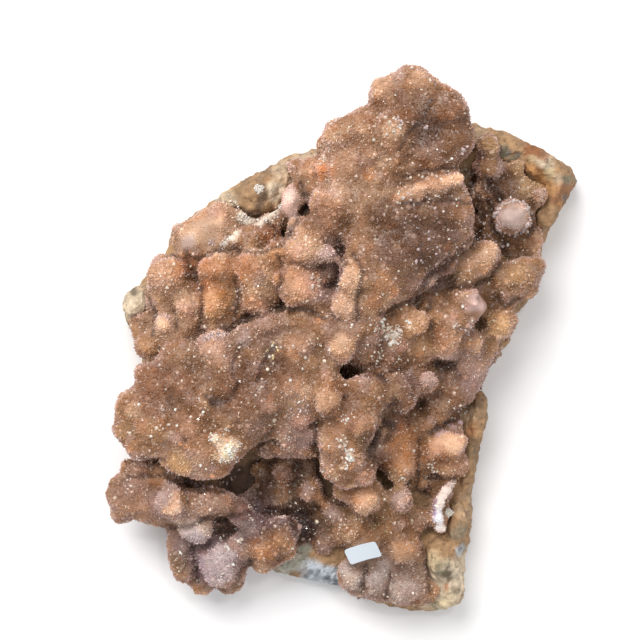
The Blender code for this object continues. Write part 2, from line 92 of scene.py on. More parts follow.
# The host rock: a slab of vein rock with rough broken sides and knobs, ochre to cream with rust on it, and
# blue-grey at the near edge. Its underside is level, and it lies a little lower where the crust covers it.
ROCK_GRAIN = 1.6
ROCK_LEVEL = 1.2
COVERED_DEPTH = 9.0
COVERED_DROP = 0.6
ROCK_ROUGHNESS = (
    # name, pattern, size, height
    ("broken lumps", "CLOUDS", 11.0, 3.2),
    ("chips", "VORONOI", 6.0, -2.4),
    ("grit", "CLOUDS", 2.2, 0.9),
)
TONE_STRAY, TONE_STRAY_SIZE = 2.6, 9.0
TONE_RAG, TONE_RAG_SIZE = 0.25, 5.0
TONE_CORE = 1.35
ROCK_SHADE = 0.86
ROCK_COLOUR = (172, 136, 100)
ROCK_TONES = {
    # tone: (colour, ((x, y, radius, strength), ...)), places in mm as seen by the camera
    "cream": ((222, 202, 174), (
        (-137, 22, 13, 0.9), (70, -166, 18, 0.95), (82, -152, 9, 0.7), (85, -50, 6, 0.6),
        (86, -104, 6, 0.6), (84, -118, 6, 0.5), (-75, 92, 8, 0.5), (-64, 80, 7, 0.5), (-58, 74, 5, 0.9),
        (-42, 96, 7, 0.9), (-38, 110, 8, 0.5), (-26, 120, 8, 0.5), (-12, 118, 8, 0.8), (-82, 95, 6, 0.5),
        (137, 117, 6, 0.8), (100, 125, 8, 0.7), (92, 133, 7, 0.5), (145, 105, 5, 0.5))),
    "grey brown": ((120, 98, 78), (
        (-54, 105, 4, 0.8), (-52, 98, 5, 0.9), (-54, 90, 4, 0.9), (-55, 84, 2.5, 0.8), (-48, 114, 4, 0.8),
        (-62, 104, 3, 0.5), (128, 90, 6, 0.5), (108, 92, 6, 0.6))),
    "rust": ((150, 92, 54), (
        (130, 124, 6, 0.8), (137, 121, 4, 0.7), (72, -168, 3, 0.8), (151, 98, 6, 0.6), (-125, 55, 9, 0.4),
        (144, 92, 5, 0.6), (62, -172, 3, 0.5), (88, -62, 4, 0.5), (126, 130, 4, 0.6), (133, 108, 4, 0.5))),
    "orange stain": ((196, 142, 88), (
        (128, 112, 5, 0.7), (134, 106, 5, 0.6), (139, 100, 6, 0.5), (82, -50, 5, 0.4), (150, 88, 5, 0.5),
        (-11, 112, 3, 0.5))),
    "green grey": ((136, 130, 110), (
        (108, 124, 5, 0.8), (114, 118, 4, 0.7), (104, 128, 4, 0.5), (-28, -148, 8, 0.8),
        (66, -158, 4, 0.8), (70, -152, 3, 0.6), (64, -176, 4, 0.6), (153, 105, 4, 0.8), (78, -130, 5, 0.6),
        (82, -126, 4, 0.5))),
    "blue white": ((196, 206, 214), (
        (-14, -158, 9, 0.95), (-6, -160, 8, 0.95), (-22, -154, 7, 0.6), (80, -142, 4, 0.7),
        (-34, -154, 5, 0.4))),
    "slate": ((96, 102, 108), (
        (-9, -161, 2.5, 0.8), (-3, -164, 2.5, 0.8), (-16, -157, 2, 0.6), (-22, -158, 2, 0.5),
        (150, 93, 3, 0.6), (105, 126, 2, 0.5), (112, 124, 2, 0.6), (119, 120, 2, 0.6))),
    "pale green": ((186, 184, 166), ((-24, -140, 6, 0.9), (-32, -150, 8, 0.8), (-40, -154, 8, 0.6))),
    "khaki": ((148, 122, 92), (
        (96, -50, 10, 0.7), (90, -75, 9, 0.6), (88, -105, 10, 0.5), (-68, 96, 6, 0.5),
        (-45, 108, 3, 0.4))),
    "tan": ((178, 140, 104), ((86, -100, 8, 0.6), (84, -120, 8, 0.6), (92, -55, 6, 0.4))),
    "yellow cream": ((220, 198, 156), (
        (62, -150, 8, 0.5), (70, -178, 8, 0.5), (139, 110, 4, 0.7), (130, 118, 3, 0.6))),
    "olive dirt": ((92, 80, 58), (
        (70, -159, 3, 0.9), (73, -163, 2.5, 0.9), (60, -174, 3, 0.8), (-137, 31, 3, 0.8),
        (66, -154, 2.5, 0.7), (-50, 94, 3, 0.6), (78, -170, 2.5, 0.6), (84, -178, 3, 0.6))),
    # painted shade: the rock is darkened where it shows in the hollows and crevices under the crust, where
    # shade falls
    "cavity painted shade": ((88, 66, 52), (
        (-60, -95, 16, 0.95), (-42, -102, 16, 0.95), (-24, -112, 16, 0.9), (-70, -100, 14, 0.9),
        (-16, -128, 12, 0.85), (20, -75, 16, 0.8), (105, 98, 10, 0.5), (98, 70, 12, 0.7),
        (-35, 70, 8, 0.8), (60, -100, 9, 0.6), (0, -100, 22, 0.7), (92, -42, 6, 0.5))),
}


def choose(*pieces):
    """Selects only these objects, the first one active."""
    bpy.ops.object.select_all(action="DESELECT")
    for piece in pieces:
        piece.select_set(True)
    bpy.context.view_layer.objects.active = pieces[0]


def skin_from(node, name):
    """A piece that starts as a CAD node's own surface, its loose triangles joined."""
    piece = bpy.data.objects.new(name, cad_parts[node].data.copy())
    piece.data.name = name
    piece.data.materials.clear()
    bpy.context.scene.collection.objects.link(piece)
    choose(piece)
    bpy.ops.object.mode_set(mode="EDIT")
    bpy.ops.mesh.select_all(action="SELECT")
    bpy.ops.mesh.remove_doubles(threshold=0.00001)
    bpy.ops.object.mode_set(mode="OBJECT")
    return piece


def apply_all(piece):
    """Applies the piece's modifiers in their order."""
    choose(piece)
    for step in [modifier.name for modifier in piece.modifiers]:
        bpy.ops.object.modifier_apply(modifier=step)


def reskin(piece, grain):
    """Gives the piece one closed skin with faces of this size."""
    remesh = piece.modifiers.new("skin", "REMESH")
    remesh.mode = "VOXEL"
    remesh.voxel_size = grain * MM


def roughen(piece, name, relief_kind, size, height):
    """Pushes the surface in and out by a relief of this size, by up to half this height each way."""
    relief = bpy.data.textures.new(name, relief_kind)
    relief.noise_scale = size * MM
    if relief_kind == "CLOUDS":
        relief.noise_depth = 2
    push = piece.modifiers.new(name, "DISPLACE")
    push.texture = relief
    push.texture_coords = "LOCAL"
    push.strength = height * MM
    push.mid_level = 0.5


def places_of(piece):
    """Where the piece's vertices are."""
    found = np.empty(len(piece.data.vertices) * 3, np.float32)
    piece.data.vertices.foreach_get("co", found)
    return found.reshape(-1, 3).astype(float)


def place_all(piece, places):
    """Puts the piece's vertices at these places."""
    piece.data.vertices.foreach_set("co", places.astype(np.float32).ravel())
    piece.data.update()


def rays_on(mesh):
    """Finds where a line of sight meets a mesh."""
    corners = [spot.co for spot in mesh.vertices]
    return BVHTree.FromPolygons(corners, [face.vertices[:] for face in mesh.polygons])


def linear(colour):
    """The light that a screen colour of 0 to 255 stands for."""
    return (np.array(colour, float) / 255) ** 2.2


def clouds(points, size, seed):
    """Soft random values of -1 to 1 that change over this many millimetres."""
    lattice = np.random.default_rng(seed).uniform(-1, 1, (24, 24, 24))
    place = points / (size * MM) + 500.0
    corner = np.floor(place).astype(int)
    share = place - corner
    share = share * share * (3 - 2 * share)
    total = np.zeros(len(points))
    for step in np.ndindex(2, 2, 2):
        weight = np.prod(np.where(step, share, 1 - share), axis=1)
        at = (corner + step) % 24
        total += weight * lattice[at[:, 0], at[:, 1], at[:, 2]]
    return total


def as_seen(points):
    """Where the camera sees each point, as millimetres on the floor's plan."""
    centre = np.array(CAMERA_PLACE)
    nearer = 1 - points[:, 2:3] / (CAMERA_HEIGHT * MM)
    return centre + (points[:, :2] / MM - centre) / nearer


def toned(points, ground, tones, seed):
    """Colours for points: the ground colour, with each tone laid over it in soft uneven patches."""
    stray = [clouds(points, TONE_STRAY_SIZE, seed + axis) for axis in range(2)]
    seen = as_seen(points) + TONE_STRAY * np.stack(stray, axis=1)
    ragged = 1 + TONE_RAG * clouds(points, TONE_RAG_SIZE, seed + 2)
    colour = np.tile(linear(ground), (len(points), 1))
    for tone, patches in tones.values():
        for x, y, radius, strength in patches:
            away = np.hypot(seen[:, 0] - x, seen[:, 1] - y) / radius * ragged
            cover = strength * np.clip(TONE_CORE - away**2, 0, 1)[:, None]
            colour = colour * (1 - cover) + linear(tone) * cover
    return colour


def store_tone(piece, colour):
    """Keeps the colours on the piece for its material to read."""
    layer = piece.data.color_attributes.new("tone", "FLOAT_COLOR", "POINT")
    values = np.ones((len(colour), 4), np.float32)
    values[:, :3] = colour
    layer.data.foreach_set("color", values.ravel())


def patterned(material, kind, scale, **settings):
    """A pattern on the piece's own coordinates, with this many steps to the metre."""
    pattern = material.node_tree.nodes.new(kind)
    where = material.node_tree.nodes.new("ShaderNodeTexCoord")
    material.node_tree.links.new(where.outputs["Object"], pattern.inputs["Vector"])
    pattern.inputs["Scale"].default_value = scale
    for setting, value in settings.items():
        pattern.inputs[setting.title()].default_value = value
    return pattern


def multiplied(material, colour, by, share):
    """A colour darkened or lightened by another, as far as this share."""
    product = material.node_tree.nodes.new("ShaderNodeMix")
    product.data_type = "RGBA"
    product.blend_type = "MULTIPLY"
    product.inputs["Factor"].default_value = share
    material.node_tree.links.new(colour, product.inputs["A"])
    material.node_tree.links.new(by, product.inputs["B"])
    return product.outputs["Result"]


def bumped(material, height, strength, distance):
    """Lets a pattern raise the finish by this many metres."""
    bump = material.node_tree.nodes.new("ShaderNodeBump")
    bump.inputs["Strength"].default_value = strength
    bump.inputs["Distance"].default_value = distance
    material.node_tree.links.new(height, bump.inputs["Height"])
    shader = material.node_tree.nodes["Principled BSDF"]
    material.node_tree.links.new(bump.outputs["Normal"], shader.inputs["Normal"])


rock = skin_from("host_rock", "rough_host_rock")
reskin(rock, ROCK_GRAIN)
apply_all(rock)
level = places_of(rock)[:, 2] < ROCK_LEVEL * MM
for relief_name, relief_kind, relief_size, relief_height in ROCK_ROUGHNESS:
    roughen(rock, relief_name, relief_kind, relief_size, relief_height)
smooth_places = places_of(rock)
apply_all(rock)
rock_places = places_of(rock)
crust_above = rays_on(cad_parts["amethyst_crust"].data)
for index, place in enumerate(smooth_places):
    if crust_above.ray_cast(Vector(place), Vector((0, 0, 1)), COVERED_DEPTH * MM)[0]:
        rock_places[index] = place - np.array((0, 0, COVERED_DROP * MM))
rock_places[level, 2] = 0.0
rock_places[:, 2] = np.maximum(rock_places[:, 2], 0.0)
place_all(rock, rock_places)
store_tone(rock, ROCK_SHADE * toned(rock_places, ROCK_COLOUR, ROCK_TONES, 40))

rock_stone = bpy.data.materials.new("stained vein rock")
rock_stone.use_nodes = True
nodes, links = rock_stone.node_tree.nodes, rock_stone.node_tree.links
tone = nodes.new("ShaderNodeAttribute")
tone.attribute_name = "tone"
mottle = patterned(rock_stone, "ShaderNodeTexNoise", 170.0, detail=6.0, roughness=0.65)
spread = nodes.new("ShaderNodeMapRange")
for socket, limit in {"From Min": 0.3, "From Max": 0.7, "To Min": 0.55, "To Max": 1.35}.items():
    spread.inputs[socket].default_value = limit
links.new(mottle.outputs["Fac"], spread.inputs["Value"])
mottled = multiplied(rock_stone, tone.outputs["Color"], spread.outputs["Result"], 1.0)
pits = patterned(rock_stone, "ShaderNodeTexVoronoi", 260.0)
pit_edge = nodes.new("ShaderNodeValToRGB")
pit_edge.color_ramp.elements[0].position = 0.12
pit_edge.color_ramp.elements[0].color = (0.38, 0.3, 0.24, 1)
pit_edge.color_ramp.elements[1].position = 0.3
pit_edge.color_ramp.elements[1].color = (1, 1, 1, 1)
links.new(pits.outputs["Distance"], pit_edge.inputs["Fac"])
pitted = multiplied(rock_stone, mottled, pit_edge.outputs["Color"], 0.6)
links.new(pitted, nodes["Principled BSDF"].inputs["Base Color"])
grit = patterned(rock_stone, "ShaderNodeTexNoise", 900.0, detail=4.0)
bumped(rock_stone, grit.outputs["Fac"], 0.6, 0.0008)
nodes["Principled BSDF"].inputs["Roughness"].default_value = 0.82
rock.data.materials.append(rock_stone)
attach(rock, "root")
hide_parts("host_rock")

# The crust: quartz grown as a crowd of rounded fingers, each one knobbly, all grown into one body. The small
# crystals of the druse stand on it, so it lies about a crystal's height inside the outer shape.
CRUST_GRAIN = 1.85
CRUST_SMOOTHING = 5
CRUST_INSET = 0.9
THIN_PLACES = ((-58, -105, 18), (-25, -128, 14))
THIN_SKIN_DROP = 7.0
NUB_SPACING = 5.4
NUB_RADIUS = (3.6, 7.8)
NUB_RISE = (0.22, 0.46)
NUB_TINTS = (
    # colour, how strongly it tints a nub, how many of a hundred nubs
    ((150, 108, 84), 0.0, 30),
    ((210, 178, 152), 0.22, 18),
    ((164, 138, 132), 0.34, 20),
    ((112, 82, 62), 0.25, 12),
    ((182, 142, 104), 0.22, 10),
    ((190, 130, 92), 0.2, 10),
)
KNOB_UNEVENNESS, KNOB_UNEVENNESS_SIZE = 3.0, 7.0
KNOB_STEEPNESS = 0.7
KNOB_HEIGHT_SHARE = 0.55
KNOB_SMOOTHNESS = 0.35
CREVICE_STRAY, CREVICE_STRAY_SIZE = 1.6, 6.0
CREVICE_DEPTH_SHARE = 0.85
KNOBS = {
    # tone: (colour, strength, ((x, y, radius, rise), ...)), places as the camera sees them
    "cream": ((228, 206, 180), 0.85, ((-85, -67, 4, 3), (-76, -79, 7, 3), (46, 10, 3, 1.5))),
    "peach": ((214, 172, 144), 0.85, (
        (70, -70, 9, 2), (62, -74, 8, 2), (80, -73, 8, 2), (-118, 8, 8, 4), (-111, -113, 8, 3),
        (-17, 96, 4, 2), (43, 98, 7, 1), (52, 100, 8, 1.5), (61, 102, 9, 1.5), (71, 104, 9, 1.5),
        (81, 107, 8, 1.5))),
    "pale tan": ((200, 164, 138), 0.65, (
        (0, -28, 5, 4), (9, -30, 5, 4), (-92, 70, 11, 2), (-84, 76, 9, 2), (-90, 58, 8, 2), (0, -7, 9, 4),
        (-9, -43, 9, 4), (-23, -38, 4, 3), (0, 21, 9, 4), (18, -111, 10, 5), (98, 57, 11, 5),
        (-100, 66, 9, 4), (-69, -73, 5, 2), (9, 37, 10, 5), (-21, 63, 13, 5), (33, 139, 7, 2),
        (3, 118, 9, 2))),
    "tan": ((178, 138, 112), 0.62, (
        (-120, 38, 13, 5), (-60, 49, 9, 4), (-27, 31, 11, 4), (-85, -11, 11, 5), (71, -5, 11, 4),
        (-8, 88, 11, 3), (87, 50, 9, 4), (0, -59, 8, 3), (-27, -2, 9, 2), (53, 171, 8, 2))),
    "yellow tan": ((190, 150, 108), 0.62, ((-106, -87, 9, 3), (107, 6, 9, 4), (120, 43, 9, 4))),
    "rosy": ((178, 136, 118), 0.62, (
        (42, -4, 5, 3), (-9, -23, 4, 2.5), (-101, 19, 6, 3), (-83, 83, 7, 3), (76, 13, 3, 2.5),
        (-48, -47, 5, 2), (-23, -58, 8, 3), (-33, -72, 7, 3), (17, -95, 7, 3), (-29, 55, 5, 2))),
    "lilac": ((172, 148, 144), 0.7, (
        (-34, 86, 9, 5), (-33, 98, 7, 4), (-9, 55, 6, 4), (-15, 28, 5, 2), (-65, -1, 7, 4),
        (-110, -67, 5, 3), (-85, -90, 5, 2.5), (60, -29, 7, 5), (47, -23, 3, 2), (-110, -100, 6, 4),
        (-121, -108, 8, 4), (39, -109, 8, 5), (82, 125, 4, 2), (-93, -150, 5, 1.5), (-90, -159, 5, 1.5),
        (-96, -134, 6, 2))),
    "pale lilac": ((200, 176, 168), 0.9, (
        (-35, 93, 7, 3), (115, 79, 12, 4), (-102, 63, 6, 1.5), (-96, 57, 4, 1))),
    "lilac crystal": ((188, 160, 156), 0.97, ((92, 21, 10, 0),)),
    "khaki": ((172, 140, 106), 0.75, (
        (120, 112, 9, 2), (128, 104, 8, 2), (103, 124, 7, 2), (96, 129, 7, 3), (134, 100, 6, 2),
        (126, 96, 6, 2))),
    "grey tan": ((182, 160, 146), 0.68, (
        (-94, -132, 11, 4), (-79, -155, 12, 4), (-84, -146, 8, 3), (8, -164, 9, 4), (42, -169, 11, 4),
        (24, -164, 7, 3), (30, -156, 6, 2), (4, -154, 7, 2), (-62, -128, 7, 3))),
    "grey lilac": ((154, 130, 124), 0.62, (
        (-81, -47, 4, 3), (-67, -133, 5, 3), (-5, -119, 7, 5), (39, -125, 5, 4), (-21, -103, 6, 5),
        (134, 93, 6, 4), (-38, -123, 6, 3), (77, 67, 5, 2), (107, 114, 5, 2))),
    "mauve brown": ((144, 113, 98), 0.62, (
        (11, -17, 7, 6), (4, -19, 5, 5), (13, -29, 6, 6), (83, -19, 9, 3), (-91, -111, 10, 5),
        (-136, -87, 9, 4), (60, -54, 5, 3), (-56, -59, 9, 3), (-75, -109, 9, 4), (83, 25, 5, 2),
        (-47, 7, 9, 4), (50, 41, 8, 2), (24, -5, 7, 2), (57, 65, 8, 2), (40, 81, 8, 2))),
    "dark mauve": ((112, 86, 78), 0.62, (
        (-7, 41, 5, 3), (-37, -89, 6, 4), (-10, -137, 8, 4), (60, 138, 9, -1))),
    "dark olive": ((106, 86, 68), 0.62, (
        (-37, -107, 9, 5), (-19, -83, 5, 3), (-109, -149, 9, 4), (-69, -165, 6, 2), (-47, -13, 7, -1))),
    "orange": ((192, 146, 106), 0.55, (
        (-85, 21, 10, 5), (-43, 56, 6, 3), (-87, 5, 6, 3), (-7, 113, 3, 1), (22, 111, 3, 1))),
    "orange tan": ((178, 134, 100), 0.5, (
        (56, 10, 7, 8), (66, 9, 6, 5), (61, 14, 6, 5), (60, 3, 7, 8), (54, 5, 6, 6), (47, 13, 9, 5),
        (-108, 50, 6, 3), (-77, 46, 10, 4), (-52, -142, 9, 4), (-37, -137, 11, 6), (40, -87, 9, 5),
        (43, -144, 10, 4), (-127, -5, 7, 3), (125, 37, 9, 3), (43, -69, 8, 4), (-7, -75, 7, 3))),
    "brown tan": ((164, 124, 100), 0.62, (
        (-140, -109, 13, 5), (-77, -35, 4, 2), (-127, -42, 11, 3), (-103, -59, 10, 3), (-67, -42, 10, 3),
        (37, 125, 8, 2), (77, 151, 8, 2), (13, -59, 10, 3), (-133, -59, 9, 3), (-107, -29, 9, 3),
        (-33, -32, 9, 3))),
    # painted shade: the crevices between lobes are pushed in and coloured dark brown where shade falls
    "crevice": ((74, 50, 38), 0.7, (
        (-37, 69, 6, -4), (-24, 88, 3, -3), (-25, 97, 3, -3), (-99, 41, 5, -4), (-94, 33, 4, -4),
        (1, 49, 4, -4), (-1, 59, 4, -3), (-35, 19, 3, -4), (-63, 11, 5, -3), (-74, 7, 3, -3),
        (-85, -43, 4, -2), (-104, -67, 3, -2), (8, -25, 4, -2), (18, -25, 4, -2), (27, -26, 4, -2),
        (69, -19, 5, -4), (47, 23, 5, -4), (57, 32, 4, -3), (110, 57, 4, -4), (113, 63, 3, -3),
        (101, 102, 6, -3), (96, 81, 4, -4), (-51, -102, 8, -3), (-27, -89, 5, -4), (-21, -130, 8, -4),
        (-26, -118, 7, -3), (-77, -101, 4, -3), (-92, -101, 3, -3), (-77, -129, 5, -4), (35, -60, 6, -4),
        (22, -71, 5, -4), (59, -101, 4, -1.5), (68, -59, 4, -1.5), (107, 91, 5, -3), (130, 73, 5, -3),
        (53, -45, 5, -3), (3, -39, 3, -2), (37, -45, 5, -3), (93, 25, 3, -1), (-18, -60, 3, -2),
        (-45, -69, 3, -2))),
    "white lilac": ((226, 210, 204), 0.95, (
        (75, -100, 5, 3), (71, -103, 5, 3), (67, -107, 5, 3), (66, -113, 5, 3), (66, -118, 5, 3),
        (67, -123, 5, 3), (68, -129, 4, 3))),
    "purple": ((146, 118, 138), 0.9, (
        (63, -108, 3, 1), (62, -113, 3, 1), (62, -118, 3, 1), (64, -124, 3, 1))),
    "lilac edge": ((194, 162, 160), 0.9, (
        (64, -63, 3, 2), (69, -61, 3, 2), (75, -59, 3, 2), (80, -57, 3, 2))),
    "snow": ((238, 224, 210), 0.95, (
        (-65, 81, 4, 1), (-60, 77, 4, 1.5), (-56, 75, 4, 1.5), (-52, 76, 4, 1.5), (-47, 80, 4, 1),
        (-43, 84, 4, 1), (-39, 88, 4, 1), (73, -117, 3, 3), (-69, 70, 3, 1), (-73, 66, 3, 1),
        (-77, 63, 3, 1))),
    "frosted": ((236, 214, 192), 0.6, (
        (35, -2, 4, 0.5), (31, 4, 3, 0.5), (-77, -77, 6, 1), (-71, -74, 5, 1), (-80, -70, 5, 1),
        (6, -79, 3, 0.5), (2, -69, 3, 0.5), (3, -86, 2, 0.5), (-84, -66, 3, 1))),
}
CREVICES = (
    # half width, depth, and the places it runs through, as the camera sees them
    (2.1, 4.2, ((-27, 103), (-22, 95), (-24, 85), (-29, 77), (-35, 67), (-41, 70), (-48, 77))),
    (2.1, 3.4, ((-1, 65), (2, 55), (1, 46), (-4, 35), (-9, 33))),
    (2.6, 3.4, ((-103, 57), (-99, 45), (-93, 33))),
    (1.8, 3.0, ((-76, 3), (-69, 7), (-62, 13), (-52, 14), (-40, 21), (-33, 17), (-23, 19), (-10, 13))),
    (1.8, 2.6, ((0, -21), (7, -25), (17, -24), (29, -25))),
    (1.7, 1.7, ((29, -25), (40, -21))),
    (2.6, 4.2, ((64, -18), (72, -19))),
    (2.1, 3.4, (
        (92, 95), (95, 81), (92, 69), (83, 59), (73, 50), (61, 41), (56, 33), (48, 23), (39, 21),
        (27, 15))),
    (1.7, 2.1, ((60, 24), (60, 20), (57, 17))),
    (2.1, 4.2, (
        (-115, -91), (-105, -99), (-93, -101), (-79, -102), (-67, -97), (-61, -87), (-59, -79), (-52, -70),
        (-45, -62))),
    (1.7, 2.5, ((-143, -83), (-130, -82), (-117, -83))),
    (1.7, 2.5, ((-140, -94), (-127, -93), (-113, -94), (-103, -103), (-101, -111))),
    (1.7, 2.5, ((-117, -127), (-103, -127), (-90, -122), (-77, -122), (-60, -117))),
    (2.6, 4.2, ((-83, -130), (-72, -129))),
    (1.8, 3.4, ((-99, -141), (-96, -152), (-95, -165))),
    (1.7, 2.5, ((-65, -165), (-61, -159), (-59, -149))),
    (2.6, 4.2, ((-27, -143), (-28, -129), (-33, -118), (-48, -116))),
    (1.8, 3.0, ((-16, -57), (-18, -69), (-15, -79), (-13, -95), (-10, -107), (3, -112))),
    (2.6, 3.4, ((27, -59), (24, -69), (19, -77), (25, -89), (29, -97))),
    (3.1, 4.2, ((29, -55), (37, -61), (32, -69))),
    (1.8, 1.8, ((53, -69), (53, -82), (52, -94), (49, -107), (44, -113))),
    (2.1, 3.4, ((60, -64), (67, -60), (81, -54))),
    (2.1, 3.4, ((56, -95), (64, -94), (77, -94))),
    (2.1, 3.4, ((100, 91), (101, 75), (107, 65))),
    (1.7, 2.5, ((128, 88), (130, 77), (125, 67))),
    (2.6, 4.2, ((109, 65), (111, 54))),
    (2.8, 3.0, ((97, 105), (103, 98), (107, 94))),
    (2.1, 2.5, ((120, 25), (110, 21), (103, 26))),
    (2.1, 2.5, ((107, 50), (100, 40), (87, 34), (73, 33))),
    (1.7, 2.5, ((17, -152), (15, -169))),
    (1.7, 2.1, ((33, -159), (31, -175))),
    (1.7, 2.1, ((53, -135), (57, -155), (60, -170))),
    (1.7, 2.1, ((-120, 58), (-107, 53), (-93, 53), (-83, 57), (-70, 59), (-57, 55), (-40, 61))),
    (1.7, 2.5, ((-93, 31), (-93, 5))),
    (1.7, 2.1, ((-70, 41), (-67, 25), (-72, 8))),
    (1.7, 2.1, ((-41, 55), (-39, 45), (-41, 31), (-40, 21))),
    (1.7, 1.7, ((-33, 50), (-20, 46), (-10, 46))),
    (1.7, 2.1, ((-130, 35), (-127, 25), (-123, 17), (-125, 1))),
    (1.7, 1.7, ((-110, 17), (-108, 5))),
    (2.1, 2.5, ((-90, -40), (-83, -44), (-77, -42))),
    (1.7, 1.7, ((-67, -5), (-72, -19), (-68, -32), (-75, -42))),
    (1.7, 1.7, ((-43, -5), (-52, -17), (-55, -29))),
    (1.7, 1.5, ((10, 55), (15, 41), (11, 25), (13, 11))),
    (1.7, 1.5, ((39, 126), (48, 139), (57, 146), (61, 159))),
    (1.7, 1.7, ((35, 110), (43, 107), (60, 111), (77, 113))),
    (1.7, 1.9, ((40, 89), (57, 91), (73, 91), (90, 89))),
)
CRUST_ROUGHNESS = (
    ("knobs", "VORONOI", 5.0, -1.2),
    ("unevenness", "CLOUDS", 3.5, 0.9),
)
STANDING = (
    # value, how widely the surface is smoothed, the height in mm that counts as one
    ("nub", 14, 1.0),
    ("lobe", 160, 3.5),
)
CRUST_FLOOR = 1.0
CRUST_SHADE = 0.75
DRUSE_BALANCE = (1.08, 1.05, 0.99)
# Painted light and shade: the druse is painted lighter where it stands proud and darker in the valleys
# between nubs and lobes.
PAINTED_RELIEF_SHADE = {"nub": 0.12, "lobe": 0.14}
# Down the sides the druse turns pale lilac: partly the quartz's own lilac, partly painted light for the
# bright rims of the translucent lobes.
SIDE_LILAC_GLOW, SIDE_GLOW_SHARE = (184, 154, 152), 0.7
# Painted shade: the crevices are coloured dark brown where shade falls in them.
CREVICE_PAINTED_SHADE, CREVICE_SHADE_SHARE = (78, 54, 46), 0.7
SHADE_STRENGTH = 2.2
SHADE_STRAY, SHADE_STRAY_SIZE = 2.0, 8.0
PATCHINESS = 0.16
DRUSE_COLOUR = (150, 111, 83)
DRUSE_TONES = {
    "smoky brown": ((118, 88, 72), (
        (56, 138, 15, 0.7), (52, 70, 34, 0.7), (66, 52, 20, 0.6), (-47, -13, 14, 0.6), (82, -38, 16, 0.6),
        (104, 96, 16, 0.6), (60, 30, 18, 0.3), (-60, -40, 26, 0.5), (-42, -76, 11, 0.5),
        (30, -12, 18, 0.4), (100, 58, 8, 0.6), (80, 150, 13, 0.6), (-110, -30, 22, 0.35))),
    # painted shadow: the druse is darkened in the hollow under the shelf and in other deep places, where
    # shade falls
    "painted cavity shadow": ((92, 68, 54), (
        (-62, -99, 12, 0.8), (-48, -100, 16, 0.85), (-28, -95, 13, 0.8), (-20, -125, 12, 0.8),
        (-28, -118, 10, 0.8), (-10, -110, 10, 0.5), (-40, -118, 10, 0.5), (24, -70, 12, 0.5))),
    "pale tan": ((196, 158, 132), (
        (6, 118, 24, 0.6), (-4, 92, 16, 0.5), (30, 166, 10, 0.6), (-20, 70, 20, 0.5), (-92, 64, 24, 0.75),
        (-60, 45, 16, 0.6), (-112, 25, 26, 0.5), (-83, 75, 14, 0.6), (-96, -84, 18, 0.6),
        (-30, -42, 16, 0.5), (-118, 8, 10, 0.6), (50, 178, 10, 0.3))),
    "golden": ((178, 140, 104), (
        (-98, -70, 26, 0.35), (14, -58, 20, 0.3), (95, 52, 20, 0.5), (120, 42, 16, 0.5), (105, 4, 14, 0.5),
        (55, 6, 16, 0.35), (30, -112, 26, 0.4), (-60, 44, 18, 0.4), (-135, -60, 12, 0.4))),
    "mauve": ((164, 134, 124), (
        (-84, -6, 16, 0.6), (-28, -62, 14, 0.6), (-88, -140, 26, 0.6), (86, -20, 12, 0.6),
        (-143, -108, 14, 0.3), (-60, -125, 12, 0.6), (30, -160, 24, 0.35), (30, 56, 10, 0.4),
        (-50, 10, 16, 0.4), (-10, 40, 16, 0.45), (0, 8, 12, 0.45), (75, -20, 12, 0.4))),
    "lilac flank": ((166, 138, 138), (
        (-6, 62, 10, 0.6), (-3, 46, 9, 0.5), (-8, 30, 9, 0.4), (-86, -7, 10, 0.5), (-27, -66, 11, 0.5),
        (46, -32, 9, 0.4), (-58, -118, 14, 0.5), (-118, -112, 13, 0.5), (-136, -98, 10, 0.35),
        (-84, -152, 16, 0.5), (62, 38, 9, 0.4), (88, -34, 9, 0.4), (-98, -93, 9, 0.4))),
    "orange": ((190, 128, 80), (
        (44, -78, 12, 0.8), (40, -66, 9, 0.6), (-86, 28, 10, 0.7), (-10, 111, 6, 0.7), (20, 110, 5, 0.6),
        (-105, 50, 8, 0.6), (70, -76, 12, 0.4), (-50, -140, 10, 0.5))),
}
STAIN_AND_SHADOW_SHADES = {
    # shade: (red, green and blue beside the rest, ((x, y, radius), ...)), by the forms that carry it
    "deep brown": ((0.8, 0.76, 0.72), (
        (70, 141, 27), (54, 66, 30), (26, 84, 11), (36, -39, 16), (21, -67, 8))),
    "brown": ((0.87, 0.82, 0.78), (
        (38, 153, 13), (8, 119, 17), (-12, 78, 17), (62, 109, 11), (92, 67, 9), (-112, -40, 22),
        (-70, -32, 20), (-44, -27, 15), (3, -45, 16), (32, -12, 13), (66, 2, 9), (41, -58, 8),
        (24, -86, 10), (42, -126, 8), (-44, -147, 8))),
    "light brown": ((0.92, 0.88, 0.86), (
        (-97, -62, 18), (-84, -85, 11), (-125, -29, 12), (24, 150, 9), (63, -79, 9), (1, -62, 9))),
    "orange": ((0.94, 0.86, 0.79), ((-95, 45, 15), (-66, 46, 12), (-45, 67, 9))),
    # painted shadow: the lobes in the hollow under the shelf are darkened where its shadow falls
    "shadowed": ((0.7, 0.68, 0.72), ((-56, -123, 16), (-27, -125, 14))),
    "lilac grey": ((0.95, 0.99, 1.1), ((-82, -150, 22), (-103, -138, 12))),
    "greyed": ((0.93, 0.97, 1.03), ((24, -160, 22), (50, -158, 15), (3, -149, 10))),
    "lighter": ((1.13, 1.1, 1.09), (
        (-40, 47, 12), (-20, 36, 12), (-59, 22, 7), (-17, 112, 9), (-39, 91, 10), (85, 111, 9),
        (14, -106, 10), (90, 20, 6))),
    "pale grey": ((1.14, 1.2, 1.28), ((-104, -124, 11), (65, -121, 7), (84, -60, 6))),
    "dull": ((0.87, 0.87, 0.88), (
        (-146, -103, 11), (124, 44, 13), (2, -145, 8), (43, -168, 8), (115, 79, 9))),
}


